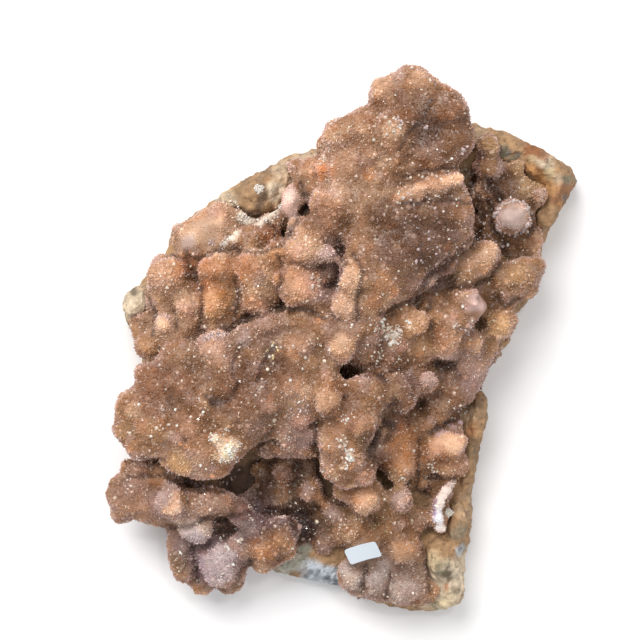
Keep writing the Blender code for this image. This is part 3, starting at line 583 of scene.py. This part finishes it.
def sown(piece, spacing, seed, kept=()):
    """Points scattered evenly over a piece, with the way its surface faces and its named values at each."""
    sower = bpy.data.node_groups.new("sow", "GeometryNodeTree")
    sower.interface.new_socket("Geometry", in_out="INPUT", socket_type="NodeSocketGeometry")
    sower.interface.new_socket("Geometry", in_out="OUTPUT", socket_type="NodeSocketGeometry")
    ground = sower.nodes.new("NodeGroupInput")
    scatter = sower.nodes.new("GeometryNodeDistributePointsOnFaces")
    scatter.distribute_method = "POISSON"
    scatter.inputs["Distance Min"].default_value = spacing * MM
    scatter.inputs["Density Max"].default_value = 3.0 / (spacing * MM) ** 2
    scatter.inputs["Seed"].default_value = seed
    keep = sower.nodes.new("GeometryNodeStoreNamedAttribute")
    keep.data_type = "FLOAT_VECTOR"
    keep.domain = "POINT"
    keep.inputs["Name"].default_value = "facing"
    dots = sower.nodes.new("GeometryNodePointsToVertices")
    out = sower.nodes.new("NodeGroupOutput")
    sower.links.new(ground.outputs["Geometry"], scatter.inputs["Mesh"])
    sower.links.new(scatter.outputs["Points"], keep.inputs["Geometry"])
    sower.links.new(scatter.outputs["Normal"], keep.inputs["Value"])
    sower.links.new(keep.outputs["Geometry"], dots.inputs["Points"])
    sower.links.new(dots.outputs["Mesh"], out.inputs["Geometry"])
    field = bpy.data.objects.new("field", piece.data.copy())
    bpy.context.scene.collection.objects.link(field)
    step = field.modifiers.new("sow", "NODES")
    step.node_group = sower
    apply_all(field)
    facing = np.empty(len(field.data.vertices) * 3, np.float32)
    field.data.attributes["facing"].data.foreach_get("vector", facing)
    found = [places_of(field), facing.reshape(-1, 3).astype(float)]
    for value in kept:
        reading = np.empty(len(field.data.vertices), np.float32)
        field.data.attributes[value].data.foreach_get("value", reading)
        found.append(reading.astype(float))
    bpy.data.objects.remove(field)
    return found


def facings_of(piece):
    """Which way the surface faces at the piece's vertices."""
    found = np.empty(len(piece.data.vertices) * 3, np.float32)
    piece.data.vertices.foreach_get("normal", found)
    return found.reshape(-1, 3).astype(float)


def stands_proud(piece, reach, depth):
    """How far each vertex stands out of the surface's own smoothed form, in steps of this many mm."""
    worn = bpy.data.objects.new("worn", piece.data.copy())
    bpy.context.scene.collection.objects.link(worn)
    wear = worn.modifiers.new("wear", "SMOOTH")
    wear.factor = 0.9
    wear.iterations = reach
    apply_all(worn)
    proud = ((places_of(piece) - places_of(worn)) * facings_of(piece)).sum(axis=1) / (depth * MM)
    bpy.data.objects.remove(worn)
    return proud


def seen_on(tree, x, y):
    """Where the camera's sight line through a place on the floor's plan meets a piece."""
    eye = Vector((CAMERA_PLACE[0] * MM, CAMERA_PLACE[1] * MM, CAMERA_HEIGHT * MM))
    return tree.ray_cast(eye, (Vector((x * MM, y * MM, 0)) - eye).normalized())


def knob_shares(points):
    """How far into each uneven knob every point lies: 1 at its middle, 0 at its edge."""
    stray = [clouds(points, KNOB_UNEVENNESS_SIZE, 70 + axis) for axis in range(3)]
    warped = points + KNOB_UNEVENNESS * MM * np.stack(stray, axis=1)
    for spot, radius, rise, colour, strength in knobs:
        yield 1 - ((warped - spot) ** 2).sum(axis=1) / radius**2, rise, colour, strength


def crevice_depths(points):
    """How deep the crevices cut at each point, in millimetres, and how far into one it lies, 0 to 1."""
    stray = [clouds(points, CREVICE_STRAY_SIZE, 75 + axis) for axis in range(2)]
    seen = as_seen(points) + CREVICE_STRAY * np.stack(stray, axis=1)
    deepest, inside = np.zeros(len(points)), np.zeros(len(points))
    for half_width, depth, path in CREVICES:
        for start, end in zip(np.array(path[:-1], float), np.array(path[1:], float)):
            along = end - start
            share = np.clip(((seen - start) @ along) / (along @ along), 0, 1)[:, None]
            away = np.hypot(*(seen - start - share * along).T) / half_width
            cut = np.clip(1 - (away / 1.3) ** 2, 0, 1) ** 1.5
            deepest, inside = np.maximum(deepest, depth * cut), np.maximum(inside, cut)
    return deepest, inside


def nubs_at(points):
    """How high the crowd of rounded nubs stands at each point, with valleys between, and which nub it is."""
    height, owner = np.zeros(len(points)), np.zeros(len(points), int)
    for spot, point in enumerate(points):
        near = nub_tree.find_n(point, 4)
        owner[spot] = near[0][1]
        for _, index, away in near:
            share = 1 - (away / nub_radii[index]) ** 2
            if share > 0 and nub_rises[index] * share**0.5 > height[spot]:
                height[spot], owner[spot] = nub_rises[index] * share**0.5, index
    return height, owner


crust = skin_from("amethyst_crust", "grown_crust")
reskin(crust, CRUST_GRAIN)
soften = crust.modifiers.new("soften", "SMOOTH")
soften.factor = 0.5
soften.iterations = CRUST_SMOOTHING
apply_all(crust)
nub_tops, _ = sown(crust, NUB_SPACING, 21)
nub_chance = np.random.default_rng(22)
nub_radii = nub_chance.uniform(*NUB_RADIUS, len(nub_tops)) * MM
nub_rises = nub_radii * nub_chance.uniform(*NUB_RISE, len(nub_tops))
crust_places, crust_facings = places_of(crust), facings_of(crust)
nub_tree = KDTree(len(nub_tops))
for index, top in enumerate(nub_tops):
    nub_tree.insert(top, index)
nub_tree.balance()
shares = np.array([share for _, _, share in NUB_TINTS]) / 100
nub_kinds = nub_chance.choice(len(NUB_TINTS), len(nub_tops), p=shares)
nub_colours = np.array([linear(colour) for colour, _, _ in NUB_TINTS])[nub_kinds]
nub_strengths = np.array([strength for _, strength, _ in NUB_TINTS])[nub_kinds]
nub_strengths = nub_strengths * nub_chance.uniform(0.4, 1.3, len(nub_tops))
crust_tree = rays_on(crust.data)
knobs = []
for colour, strength, places in KNOBS.values():
    for x, y, radius, rise in places:
        spot = seen_on(crust_tree, x, y)[0]
        if spot:
            knobs.append((np.array(spot), radius * MM, rise * MM, linear(colour), strength))
rise, _ = nubs_at(crust_places)
rise = rise - rise.mean()
swell = np.zeros(len(crust_places))
for share, knob_rise, _, _ in knob_shares(crust_places):
    rise = rise * (1 - KNOB_SMOOTHNESS * np.clip(share, 0, 1))
    if knob_rise > 0:
        height = KNOB_HEIGHT_SHARE * knob_rise
        swell = np.maximum(swell, height * np.clip(share, 0, 1) ** KNOB_STEEPNESS)
    else:
        swell = np.where(share > 0, np.minimum(swell, knob_rise * share), swell)
deepest, _ = crevice_depths(crust_places)
deepest = CREVICE_DEPTH_SHARE * deepest * np.clip(0.3 + 1.4 * crust_facings[:, 2], 0, 1) * MM
place_all(crust, crust_places + crust_facings * (rise + swell - deepest)[:, None])
for relief_name, relief_kind, relief_size, relief_height in CRUST_ROUGHNESS:
    roughen(crust, relief_name, relief_kind, relief_size, relief_height)
reskin(crust, CRUST_GRAIN)
inset = crust.modifiers.new("inset", "DISPLACE")
inset.mid_level = 0.0
inset.strength = -CRUST_INSET * MM
apply_all(crust)
crust_places, crust_facings = places_of(crust), facings_of(crust)
crust_tree = rays_on(crust.data)
for x, y, radius in THIN_PLACES:
    beside = np.hypot(*(as_seen(crust_places) - (x, y)).T) < radius
    for index in np.flatnonzero(beside & (crust_facings[:, 2] < -0.1)):
        above = Vector(crust_places[index]) + Vector((0, 0, 0.05 * MM))
        if crust_tree.ray_cast(above, Vector((0, 0, 1)))[0] is None:
            crust_places[index, 2] -= THIN_SKIN_DROP * MM
crust_places[:, 2] = np.maximum(crust_places[:, 2], CRUST_FLOOR * MM)
place_all(crust, crust_places)
for value, reach, depth in STANDING:
    proud = stands_proud(crust, reach, depth)
    crust.data.attributes.new(value, "FLOAT", "POINT").data.foreach_set("value", proud.astype(np.float32))


def druse_colour(points, facing, nub, lobe, seed):
    """The stain on the druse: brown and orange facing up, lilac down the sides with painted rim light,
    painted light on proud tops, painted shade in valleys and crevices.
    """
    colour = toned(points, DRUSE_COLOUR, DRUSE_TONES, seed)
    _, owner = nubs_at(points)
    tint = nub_strengths[owner][:, None] * np.clip(1 + 0.6 * nub[:, None], 0, 1.5)
    colour = colour * (1 - tint) + nub_colours[owner] * tint
    ragged = 0.5 * clouds(points, 5.0, seed + 4)
    for share, _, knob_colour, strength in knob_shares(points):
        cover = strength * np.clip(0.3 + 1.1 * share + ragged, 0, 1)[:, None]
        colour = colour * (1 - cover) + knob_colour * cover
    shading, covered = np.zeros((len(points), 3)), np.ones(len(points))
    stray = [clouds(points, SHADE_STRAY_SIZE, seed + 8 + axis) for axis in range(2)]
    seen = as_seen(points) + SHADE_STRAY * np.stack(stray, axis=1)
    for shade, spots in STAIN_AND_SHADOW_SHADES.values():
        for x, y, radius in spots:
            cover = np.clip(TONE_CORE - ((seen - (x, y)) ** 2).sum(axis=1) / radius**2, 0, 1)
            shading += cover[:, None] * SHADE_STRENGTH * np.log(shade)
            covered += cover
    colour = colour * np.exp(shading / np.maximum(covered - 1, 1)[:, None])
    patchy = clouds(points, 14.0, seed + 5)[:, None] * 0.5 + clouds(points, 6.0, seed + 6)[:, None] * 0.5
    colour = colour * (1 + PATCHINESS * patchy)
    # Pale lilac down the sides: partly the quartz's own colour, partly painted rim light.
    side = np.clip((0.6 - facing[:, 2:3]) / 0.5, 0, 1) * np.clip(0.75 + patchy, 0, 1)
    side = SIDE_GLOW_SHARE * side * np.clip(0.7 + 0.5 * lobe[:, None], 0.2, 1)
    colour = colour * (1 - side) + linear(SIDE_LILAC_GLOW) * side
    # Painted shade in the crevices, strongest where the surface faces up.
    _, inside = crevice_depths(points)
    shadow = CREVICE_SHADE_SHARE * (inside * np.clip(0.4 + facing[:, 2], 0, 1))[:, None]
    colour = colour * (1 - shadow) + linear(CREVICE_PAINTED_SHADE) * shadow
    # Painted light on proud tops and painted shade in valleys.
    standing = PAINTED_RELIEF_SHADE["nub"] * np.clip(nub, -2, 1.2) + PAINTED_RELIEF_SHADE["lobe"] * np.clip(lobe, -2.2, 1.0)
    return np.array(DRUSE_BALANCE) * colour * np.exp(standing)[:, None]


def reading_of(piece, value):
    """One of the values kept at the piece's vertices."""
    found = np.empty(len(piece.data.vertices), np.float32)
    piece.data.attributes[value].data.foreach_get("value", found)
    return found.astype(float)


store_tone(crust, CRUST_SHADE * druse_colour(
    places_of(crust), facings_of(crust), reading_of(crust, "nub"), reading_of(crust, "lobe"), 60,
))


def quartz(name, roughness, translucency):
    """Stained, slightly milky quartz, coloured by the piece's own tone."""
    made = bpy.data.materials.new(name)
    made.use_nodes = True
    shader = made.node_tree.nodes["Principled BSDF"]
    tone = made.node_tree.nodes.new("ShaderNodeAttribute")
    tone.attribute_name = "tone"
    made.node_tree.links.new(tone.outputs["Color"], shader.inputs["Base Color"])
    shader.inputs["Roughness"].default_value = roughness
    shader.inputs["IOR"].default_value = 1.544
    shader.inputs["Subsurface Weight"].default_value = translucency
    shader.inputs["Subsurface Radius"].default_value = (1.0, 0.7, 0.6)
    shader.inputs["Subsurface Scale"].default_value = 0.0018
    return made


crust.data.materials.append(quartz("crust between crystals", 0.5, 0.0))
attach(crust, "root")
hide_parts("amethyst_crust")

# The druse: some seventy thousand blunt quartz points, most of them 1 to 2 mm high, crowded all over the
# crust, the larger ones paler. One point of each kind is modelled and copied, and each area of the crust has
# a piece of its own.
SPACING = 1.08
POINT_RADIUS = (0.7, 1.3)
POINT_HEIGHT = (0.75, 1.7)
POINT_SUNK = 0.4
POINT_LEAN = 0.45
CLEAN_GLINT_SHARE = 0.02
LARGER_SHARE = (0.01, 0.09)
LARGER_RADIUS = (1.1, 2.1)
LARGER_LEAN = 0.35
LARGER_PALENESS = (0.0, 0.32)
ROCK_BELOW = 9.0
PALE_QUARTZ = (206, 180, 166)
CLEAN_GLINT_QUARTZ = (240, 224, 204)
DRUSE_AREAS = {
    "druse_of_the_head": (50, 130),
    "druse_of_the_ridge": (48, 58),
    "druse_of_the_left_lobes": (-62, 52),
    "druse_of_the_right_bank": (110, 55),
    "druse_of_the_shelf": (-92, -40),
    "druse_of_the_middle": (10, -40),
    "druse_of_the_left_foot": (-92, -128),
    "druse_of_the_right_foot": (38, -125),
}
GRAIN_PLACES = (
    # x, y, radius, how large the points are there beside the rest
    (115, 79, 11, 0.55), (31, 1, 10, 1.2), (-77, -72, 10, 1.2), (-79, -152, 14, 1.15), (96, 128, 9, 1.2),
    (92, 21, 9, 0.0), (45, 99, 6, 0.85), (56, 100, 7, 0.85), (68, 103, 7, 0.85), (80, 106, 6, 0.85),
    (70, -70, 9, 0.8), (62, -74, 8, 0.85), (80, -72, 7, 0.85), (66, -108, 5, 0.6), (66, -118, 5, 0.6),
    (69, -127, 5, 0.6), (72, -102, 5, 0.6), (16, -143, 11, 0.6), (8, -142, 7, 0.7), (-118, 8, 8, 0.75),
    (-24, 98, 10, 0.7), (-34, 86, 9, 0.7), (-92, 68, 12, 0.65), (-102, 63, 7, 0.65), (-84, 78, 8, 0.7),
    (-70, 86, 5, 0.6), (-60, 77, 5, 0.6), (-52, 75, 5, 0.6), (-43, 84, 5, 0.6),
)


def drawn_flat(master):
    """Gives a crystal a map of its own: the tip in the middle, its foot round the edge."""
    master.data.uv_layers[0].name = "OFBake"
    for face in master.data.polygons:
        for corner in face.loop_indices:
            spot = master.data.vertices[master.data.loops[corner].vertex_index].co
            across = Vector((spot.x, spot.y))
            out = across.normalized() * (0.45 - 0.4 * spot.z) if across.length > 0.0001 else across
            place = (0.5 + out.x, 0.5 + out.y)
            if max(master.data.vertices[index].co.z for index in face.vertices) < 0.01:
                place = (0.06 + 0.03 * spot.x, 0.06 + 0.03 * spot.y)
            master.data.uv_layers["OFBake"].data[corner].uv = place


bpy.ops.object.select_all(action="DESELECT")
bpy.ops.mesh.primitive_cone_add(vertices=5, radius1=1.0, depth=1.0, location=(0, 0, 0.5))
small_point = bpy.context.object
small_point.name = "small_point"
bpy.ops.object.transform_apply(location=True, rotation=False, scale=False)
bpy.ops.object.mode_set(mode="EDIT")
bpy.ops.mesh.select_all(action="SELECT")
bpy.ops.mesh.normals_make_consistent(inside=False)
bpy.ops.object.mode_set(mode="OBJECT")
drawn_flat(small_point)

bpy.ops.object.select_all(action="DESELECT")
bpy.ops.mesh.primitive_cylinder_add(vertices=6, radius=1.0, depth=0.45, location=(0, 0, 0.225))
large_point = bpy.context.object
large_point.name = "large_point"
bpy.ops.object.transform_apply(location=True, rotation=False, scale=False)
bpy.ops.object.mode_set(mode="EDIT")
bpy.ops.mesh.select_all(action="DESELECT")
bpy.ops.object.mode_set(mode="OBJECT")
for face in large_point.data.polygons:
    face.select = face.normal.z > 0.9
bpy.ops.object.mode_set(mode="EDIT")
bpy.ops.mesh.extrude_region_move(TRANSFORM_OT_translate={"value": (0.12, 0.06, 0.55)})
bpy.ops.mesh.merge(type="COLLAPSE")
bpy.ops.mesh.select_all(action="SELECT")
bpy.ops.mesh.normals_make_consistent(inside=False)
bpy.ops.object.mode_set(mode="OBJECT")
drawn_flat(large_point)


def crowd(name, master, feet, leans, widths, heights, spins, foot_colours, tip_colours):
    """One mesh of many copies of a crystal, each with its own foot, lean, size, turn and colour."""
    shape = places_of(master)
    count, size = len(feet), len(shape)
    axis = leans / np.linalg.norm(leans, axis=1, keepdims=True)
    helper = np.where(np.abs(axis[:, 2:3]) < 0.9, (0.0, 0.0, 1.0), (1.0, 0.0, 0.0))
    across = np.cross(helper, axis)
    across /= np.linalg.norm(across, axis=1, keepdims=True)
    beside = np.cross(axis, across)
    turned_x = np.cos(spins)[:, None] * shape[:, 0] - np.sin(spins)[:, None] * shape[:, 1]
    turned_y = np.sin(spins)[:, None] * shape[:, 0] + np.cos(spins)[:, None] * shape[:, 1]
    turned_x, turned_y = turned_x * widths[:, None], turned_y * widths[:, None]
    rise = heights[:, None] * shape[:, 2]
    corners = feet[:, None] + turned_x[..., None] * across[:, None] + turned_y[..., None] * beside[:, None]
    corners = corners + rise[..., None] * axis[:, None]

    loops = len(master.data.loops)
    corner_of = np.array([loop.vertex_index for loop in master.data.loops])
    starts = np.array([face.loop_start for face in master.data.polygons])
    mesh = bpy.data.meshes.new(name)
    mesh.vertices.add(count * size)
    mesh.vertices.foreach_set("co", corners.astype(np.float32).ravel())
    mesh.loops.add(count * loops)
    order = (np.arange(count)[:, None] * size + corner_of).astype(np.int32)
    mesh.loops.foreach_set("vertex_index", order.ravel())
    mesh.polygons.add(count * len(starts))
    first = (np.arange(count)[:, None] * loops + starts).astype(np.int32)
    mesh.polygons.foreach_set("loop_start", first.ravel())
    mesh.update(calc_edges=True)
    mesh.validate()
    mesh.shade_flat()

    drawn = np.empty(loops * 2, np.float32)
    master.data.uv_layers["OFBake"].data.foreach_get("uv", drawn)
    rows = int(np.ceil(np.sqrt(count)))
    cell = np.stack([np.arange(count) % rows, np.arange(count) // rows], axis=1)
    unwrapped = (drawn.reshape(-1, 2)[None] + cell[:, None]) / rows
    mesh.uv_layers.new(name="OFBake").data.foreach_set("uv", unwrapped.astype(np.float32).ravel())

    piece = bpy.data.objects.new(name, mesh)
    bpy.context.scene.collection.objects.link(piece)
    up = np.clip(shape[:, 2], 0, 1)[None, :, None]
    colour = foot_colours[:, None] * (1 - up) + tip_colours[:, None] * up
    store_tone(piece, colour.reshape(-1, 3))
    return piece


def between(limits, share):
    """The value at this share of the way from the lower limit to the upper one."""
    return limits[0] + (limits[1] - limits[0]) * share


feet, facing, nub, lobe = sown(crust, SPACING, 3, ("nub", "lobe"))
slab_tree = rays_on(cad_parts["host_rock"].data)
shown = np.ones(len(feet), bool)
for index in np.flatnonzero(facing[:, 2] < 0.1):
    below = slab_tree.ray_cast(Vector(feet[index]), Vector((0, 0, -1)), ROCK_BELOW * MM)
    shown[index] = below[0] is None
feet, facing, nub, lobe = feet[shown], facing[shown], nub[shown], lobe[shown]
chance = np.random.default_rng(11)
count = len(feet)
seen = as_seen(feet)
grain = np.ones(count)
for x, y, radius, factor in GRAIN_PLACES:
    inside = np.clip(3.0 - 3.0 * np.hypot(seen[:, 0] - x, seen[:, 1] - y) / radius, 0, 1)
    grain *= 1 + (factor - 1) * inside
crowded = np.clip(0.5 + 0.9 * clouds(feet, 22.0, 31), 0, 1)
stout = chance.random(count) < between(LARGER_SHARE, crowded) * (grain > 0.8)
draw = chance.random(count) ** 2
widths = between(POINT_RADIUS, draw) * grain * MM
heights = between(POINT_HEIGHT, draw) * grain * MM + POINT_SUNK * MM
stout_widths = between(LARGER_RADIUS, draw) * grain * MM
widths = np.where(stout, stout_widths, widths)
heights = np.where(stout, stout_widths * chance.uniform(0.9, 1.5, count), heights)
leans = facing + chance.normal(0, 1, (count, 3)) * np.where(stout, LARGER_LEAN, POINT_LEAN)[:, None]
spins = chance.uniform(0, np.pi, count)
tips = druse_colour(feet, facing, nub, lobe, 60)
tips = tips * (1 + chance.normal(0, 0.1, (count, 1)))
pale = np.where(stout, chance.uniform(*LARGER_PALENESS, count), 0)[:, None]
tips = tips * (1 - pale) + linear(PALE_QUARTZ) * pale
# About one point in fifty gets a near-white tip: partly clean milky quartz, partly painted glints.
clean = ((chance.random(count) < CLEAN_GLINT_SHARE) * chance.uniform(0.3, 1.0, count))[:, None]
tips = np.clip(tips * (1 - clean) + linear(CLEAN_GLINT_QUARTZ) * clean, 0.01, 0.95)
druse_quartz = quartz("stained druse", 0.2, 0.06)
nearest = np.array([np.hypot(seen[:, 0] - x, seen[:, 1] - y) for x, y in DRUSE_AREAS.values()]).argmin(0)
for number, area in enumerate(DRUSE_AREAS):
    here = (nearest == number) & ~stout & (grain > 0.2)
    # The feet of the points are painted darker than their tips: partly the stain, partly painted shade where
    # the crystals crowd together.
    piece = crowd(
        area, small_point, feet[here] - facing[here] * POINT_SUNK * MM, leans[here], widths[here],
        heights[here], spins[here], tips[here] * 0.75, np.clip(tips[here] * 1.1, 0, 0.95),
    )
    piece.data.materials.append(druse_quartz)
    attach(piece, "root")
    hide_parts("amethyst_crust")
# Feet darker than tips: partly stain, partly painted shade between the crystals.
larger_points = crowd(
    "larger_points", large_point, feet[stout] - facing[stout] * widths[stout][:, None] * 0.4, leans[stout],
    widths[stout], heights[stout], spins[stout], tips[stout] * 0.85, tips[stout],
)
larger_points.data.materials.append(quartz("larger points", 0.12, 0.25))
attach(larger_points, "root")
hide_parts("amethyst_crust")

# The clean crystals: clear, snow-white and lilac quartz points in small nests on the druse and along the rim
# of the rock, grown last and hardly stained. They are milky, and some light passes through them. The
# snow-white points at the glint places are painted glints.
CLEAR, SNOW, LILAC = (232, 214, 198), (248, 236, 224), (214, 190, 188)
PEACH, HONEY, PALE = (232, 196, 164), (240, 214, 166), (226, 206, 200)
CLEAR_NESTS = (
    # x, y, radius, how many, smallest and largest crystal, colour
    (-54, 99, 3, 90, 0.5, 0.9, SNOW), (73, -117, 3, 60, 0.5, 0.8, SNOW), (35, 2, 7, 60, 0.5, 1.4, CLEAR),
    (35, -2, 5, 30, 0.6, 1.4, SNOW), (29, 9, 3, 10, 0.7, 1.4, SNOW), (23, 6, 5, 12, 0.5, 1.0, CLEAR),
    (5, -78, 5, 22, 0.6, 1.4, SNOW), (2, -69, 5, 14, 0.5, 1.1, CLEAR), (5, -85, 3, 8, 0.6, 1.1, SNOW),
    (3, -55, 3, 8, 0.6, 1.1, SNOW), (35, 141, 7, 26, 0.5, 1.1, CLEAR), (39, 144, 3, 8, 0.6, 1.1, LILAC),
    (-75, -78, 7, 40, 0.5, 1.0, SNOW), (-69, -73, 5, 24, 0.5, 0.9, CLEAR),
    (-85, -67, 3, 22, 0.5, 0.9, SNOW), (-83, -79, 4, 14, 0.5, 0.9, PEACH),
    (-76, -63, 3, 12, 0.5, 0.9, CLEAR), (-75, -141, 3, 8, 0.7, 1.2, SNOW),
    (-67, -136, 3, 8, 0.7, 1.4, CLEAR), (-78, -135, 3, 6, 0.5, 0.9, CLEAR), (46, 9, 3, 8, 0.5, 1.0, SNOW),
    (-45, -9, 6, 8, 0.7, 1.2, HONEY), (-17, 35, 6, 10, 0.5, 1.1, CLEAR), (85, 109, 5, 14, 0.6, 1.2, CLEAR),
    (87, 99, 5, 12, 0.6, 1.1, CLEAR), (40, 93, 4, 9, 0.7, 1.2, CLEAR), (-85, 63, 3, 14, 0.5, 0.8, LILAC),
    (82, 125, 3, 6, 0.7, 1.2, LILAC), (56, 139, 3, 4, 0.8, 1.4, LILAC), (85, 5, 6, 16, 0.5, 1.0, LILAC),
    (77, 7, 3, 7, 0.5, 0.9, CLEAR), (-27, -50, 8, 18, 0.5, 0.9, LILAC), (-37, -69, 8, 20, 0.5, 0.9, CLEAR),
    (-53, -82, 6, 10, 0.5, 0.7, LILAC), (1, -126, 2, 4, 0.5, 1.0, CLEAR),
    (30, -125, 8, 14, 0.5, 0.6, HONEY), (82, -49, 4, 8, 0.5, 1.1, SNOW), (60, -89, 7, 12, 0.5, 1.0, CLEAR),
    (43, -19, 9, 12, 0.5, 0.9, CLEAR), (25, -12, 6, 12, 0.5, 0.9, CLEAR),
    (-77, -19, 4, 8, 0.5, 0.9, PEACH), (-13, 118, 3, 7, 0.5, 1.0, SNOW), (-8, 125, 3, 7, 0.5, 1.0, CLEAR),
    (67, 71, 20, 9, 0.6, 1.2, LILAC), (60, 51, 13, 7, 0.6, 1.2, LILAC), (47, 88, 12, 5, 0.5, 1.1, LILAC),
)
CLEAR_PATHS = (
    # how many, width, smallest and largest crystal, colour, the places it runs through
    (110, 1.2, 0.8, 1.3, PALE, (
        (127, 79), (124, 88), (115, 91), (107, 88), (103, 79), (107, 71), (115, 67), (123, 71),
        (127, 79))),
    (60, 3.0, 0.5, 0.9, SNOW, ((-74, 92), (-67, 83), (-58, 76), (-52, 76), (-45, 83), (-37, 88))),
    (9, 2.4, 0.6, 1.1, CLEAR, ((39, 92), (50, 92), (60, 93), (70, 94), (81, 93))),
    (9, 2.4, 0.6, 1.1, CLEAR, ((41, 105), (53, 106), (67, 108), (77, 111), (84, 112))),
    (26, 1.6, 0.5, 1.0, SNOW, ((-79, 61), (-76, 65), (-72, 67), (-69, 70))),
    (60, 1.8, 0.6, 1.0, LILAC, ((-115, -89), (-107, -95), (-97, -98), (-83, -99), (-73, -96), (-67, -89))),
    (36, 2.0, 0.5, 1.0, LILAC, ((-93, -3), (-85, 1), (-76, 1))),
    (24, 1.8, 0.5, 1.0, LILAC, ((87, 65), (95, 67), (103, 66), (107, 59))),
    (26, 1.8, 0.5, 1.0, LILAC, ((-15, -62), (-13, -72), (-12, -82), (-13, -92))),
)
# Painted glints: small snow-white points where bright glints show.
GLINT_SIZES = (0.7, 1.1, 1.0, 0.8)
GLINTS = (
    (65, 17), (82, 21), (-101, -9), (-86, -35), (-94, -41), (-134, -45), (-110, -49), (-97, -13),
    (-39, -7), (-23, -14), (-31, -6), (73, 65), (65, 125), (-47, -13), (-45, -6), (-67, -19), (-74, -6),
    (4, -32), (-93, -85), (-85, -84), (73, -43), (49, -76), (41, -94), (29, -109), (55, -117), (-72, -151),
    (-106, -145), (-107, -156), (-27, -43), (64, 29), (88, 11), (103, 11), (107, 91), (112, 62), (48, 179),
    (37, 161), (27, 148), (23, 131), (74, 119), (78, 87), (-118, -61), (-126, -66), (-151, -49),
    (-120, -19), (-77, -13), (-91, -50), (-109, -59), (-56, -39), (-67, -29), (-33, -29), (-25, -21),
    (-7, -8), (-47, -59), (8, 8), (18, -5),
)

rock_tree, crust_tree = rays_on(rock.data), rays_on(crust.data)
wanted = []
for x, y, radius, number, smallest, largest, colour in CLEAR_NESTS:
    away = radius * np.sqrt(chance.random(number)) * chance.uniform(0.7, 1.1, number)
    turn = chance.uniform(0, 2 * np.pi, number)
    sizes = between((smallest, largest), chance.random(number) ** 1.6)
    for step in range(number):
        across, along = away[step] * np.cos(turn[step]), away[step] * np.sin(turn[step])
        wanted.append((x + across, y + along, sizes[step], colour))
for number, width, smallest, largest, colour, path in CLEAR_PATHS:
    path = np.array(path, float)
    lengths = np.hypot(*np.diff(path, axis=0).T)
    reached = np.concatenate([[0], np.cumsum(lengths)])
    for share in chance.random(number):
        at = share * reached[-1]
        x, y = np.interp(at, reached, path[:, 0]), np.interp(at, reached, path[:, 1])
        size = between((smallest, largest), chance.random() ** 1.6)
        wanted.append((x + chance.normal(0, width / 2), y + chance.normal(0, width / 2), size, colour))
for number, (x, y) in enumerate(GLINTS):
    wanted.append((x, y, GLINT_SIZES[number % len(GLINT_SIZES)], SNOW))
feet, facing, sizes, colours = [], [], [], []
for x, y, size, colour in wanted:
    hits = [hit for hit in (seen_on(crust_tree, x, y), seen_on(rock_tree, x, y)) if hit[0]]
    if hits:
        nearest_hit = min(hits, key=lambda hit: hit[3])
        feet.append(nearest_hit[0])
        facing.append(nearest_hit[1])
        sizes.append(size)
        colours.append(linear(colour))
feet, facing, sizes = np.array(feet), np.array(facing), np.array(sizes) * MM
colours = np.clip(np.array(colours) * chance.uniform(0.75, 1.1, (len(feet), 1)), 0, 0.95)
# Feet darker than tips: partly painted shade between the crystals.
clear_points = crowd(
    "clear_points", large_point, feet - facing * sizes[:, None] * 0.3,
    facing + chance.normal(0, 0.55, feet.shape) + np.array((0, 0, 0.2)), sizes,
    sizes * chance.uniform(1.6, 3.0, len(feet)), chance.uniform(0, np.pi, len(feet)), colours * 0.85,
    colours,
)
clear_quartz = quartz("clear quartz", 0.15, 0.3)
clear_quartz.node_tree.nodes["Principled BSDF"].inputs["Transmission Weight"].default_value = 0.12
clear_points.data.materials.append(clear_quartz)
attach(clear_points, "root")
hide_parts("amethyst_crust")
bpy.data.objects.remove(small_point)
bpy.data.objects.remove(large_point)

# The label: a small blank paper sticker with its ends curling up, smooth and a little grey-blue. It lies
# aslant on the lower lobes, and keeps the shape of its solid.
LABEL_WHITE = (0.67, 0.73, 0.79, 1)

label = skin_from("paper_label", "blank_paper_label")
paper = bpy.data.materials.new("label paper")
paper.use_nodes = True
fibre = patterned(paper, "ShaderNodeTexNoise", 700.0, detail=5.0)
bumped(paper, fibre.outputs["Fac"], 0.15, 0.0002)
paper.node_tree.nodes["Principled BSDF"].inputs["Base Color"].default_value = LABEL_WHITE
paper.node_tree.nodes["Principled BSDF"].inputs["Roughness"].default_value = 0.5
label.data.materials.append(paper)
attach(label, "root")
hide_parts("paper_label")

bpy.context.view_layer.update()
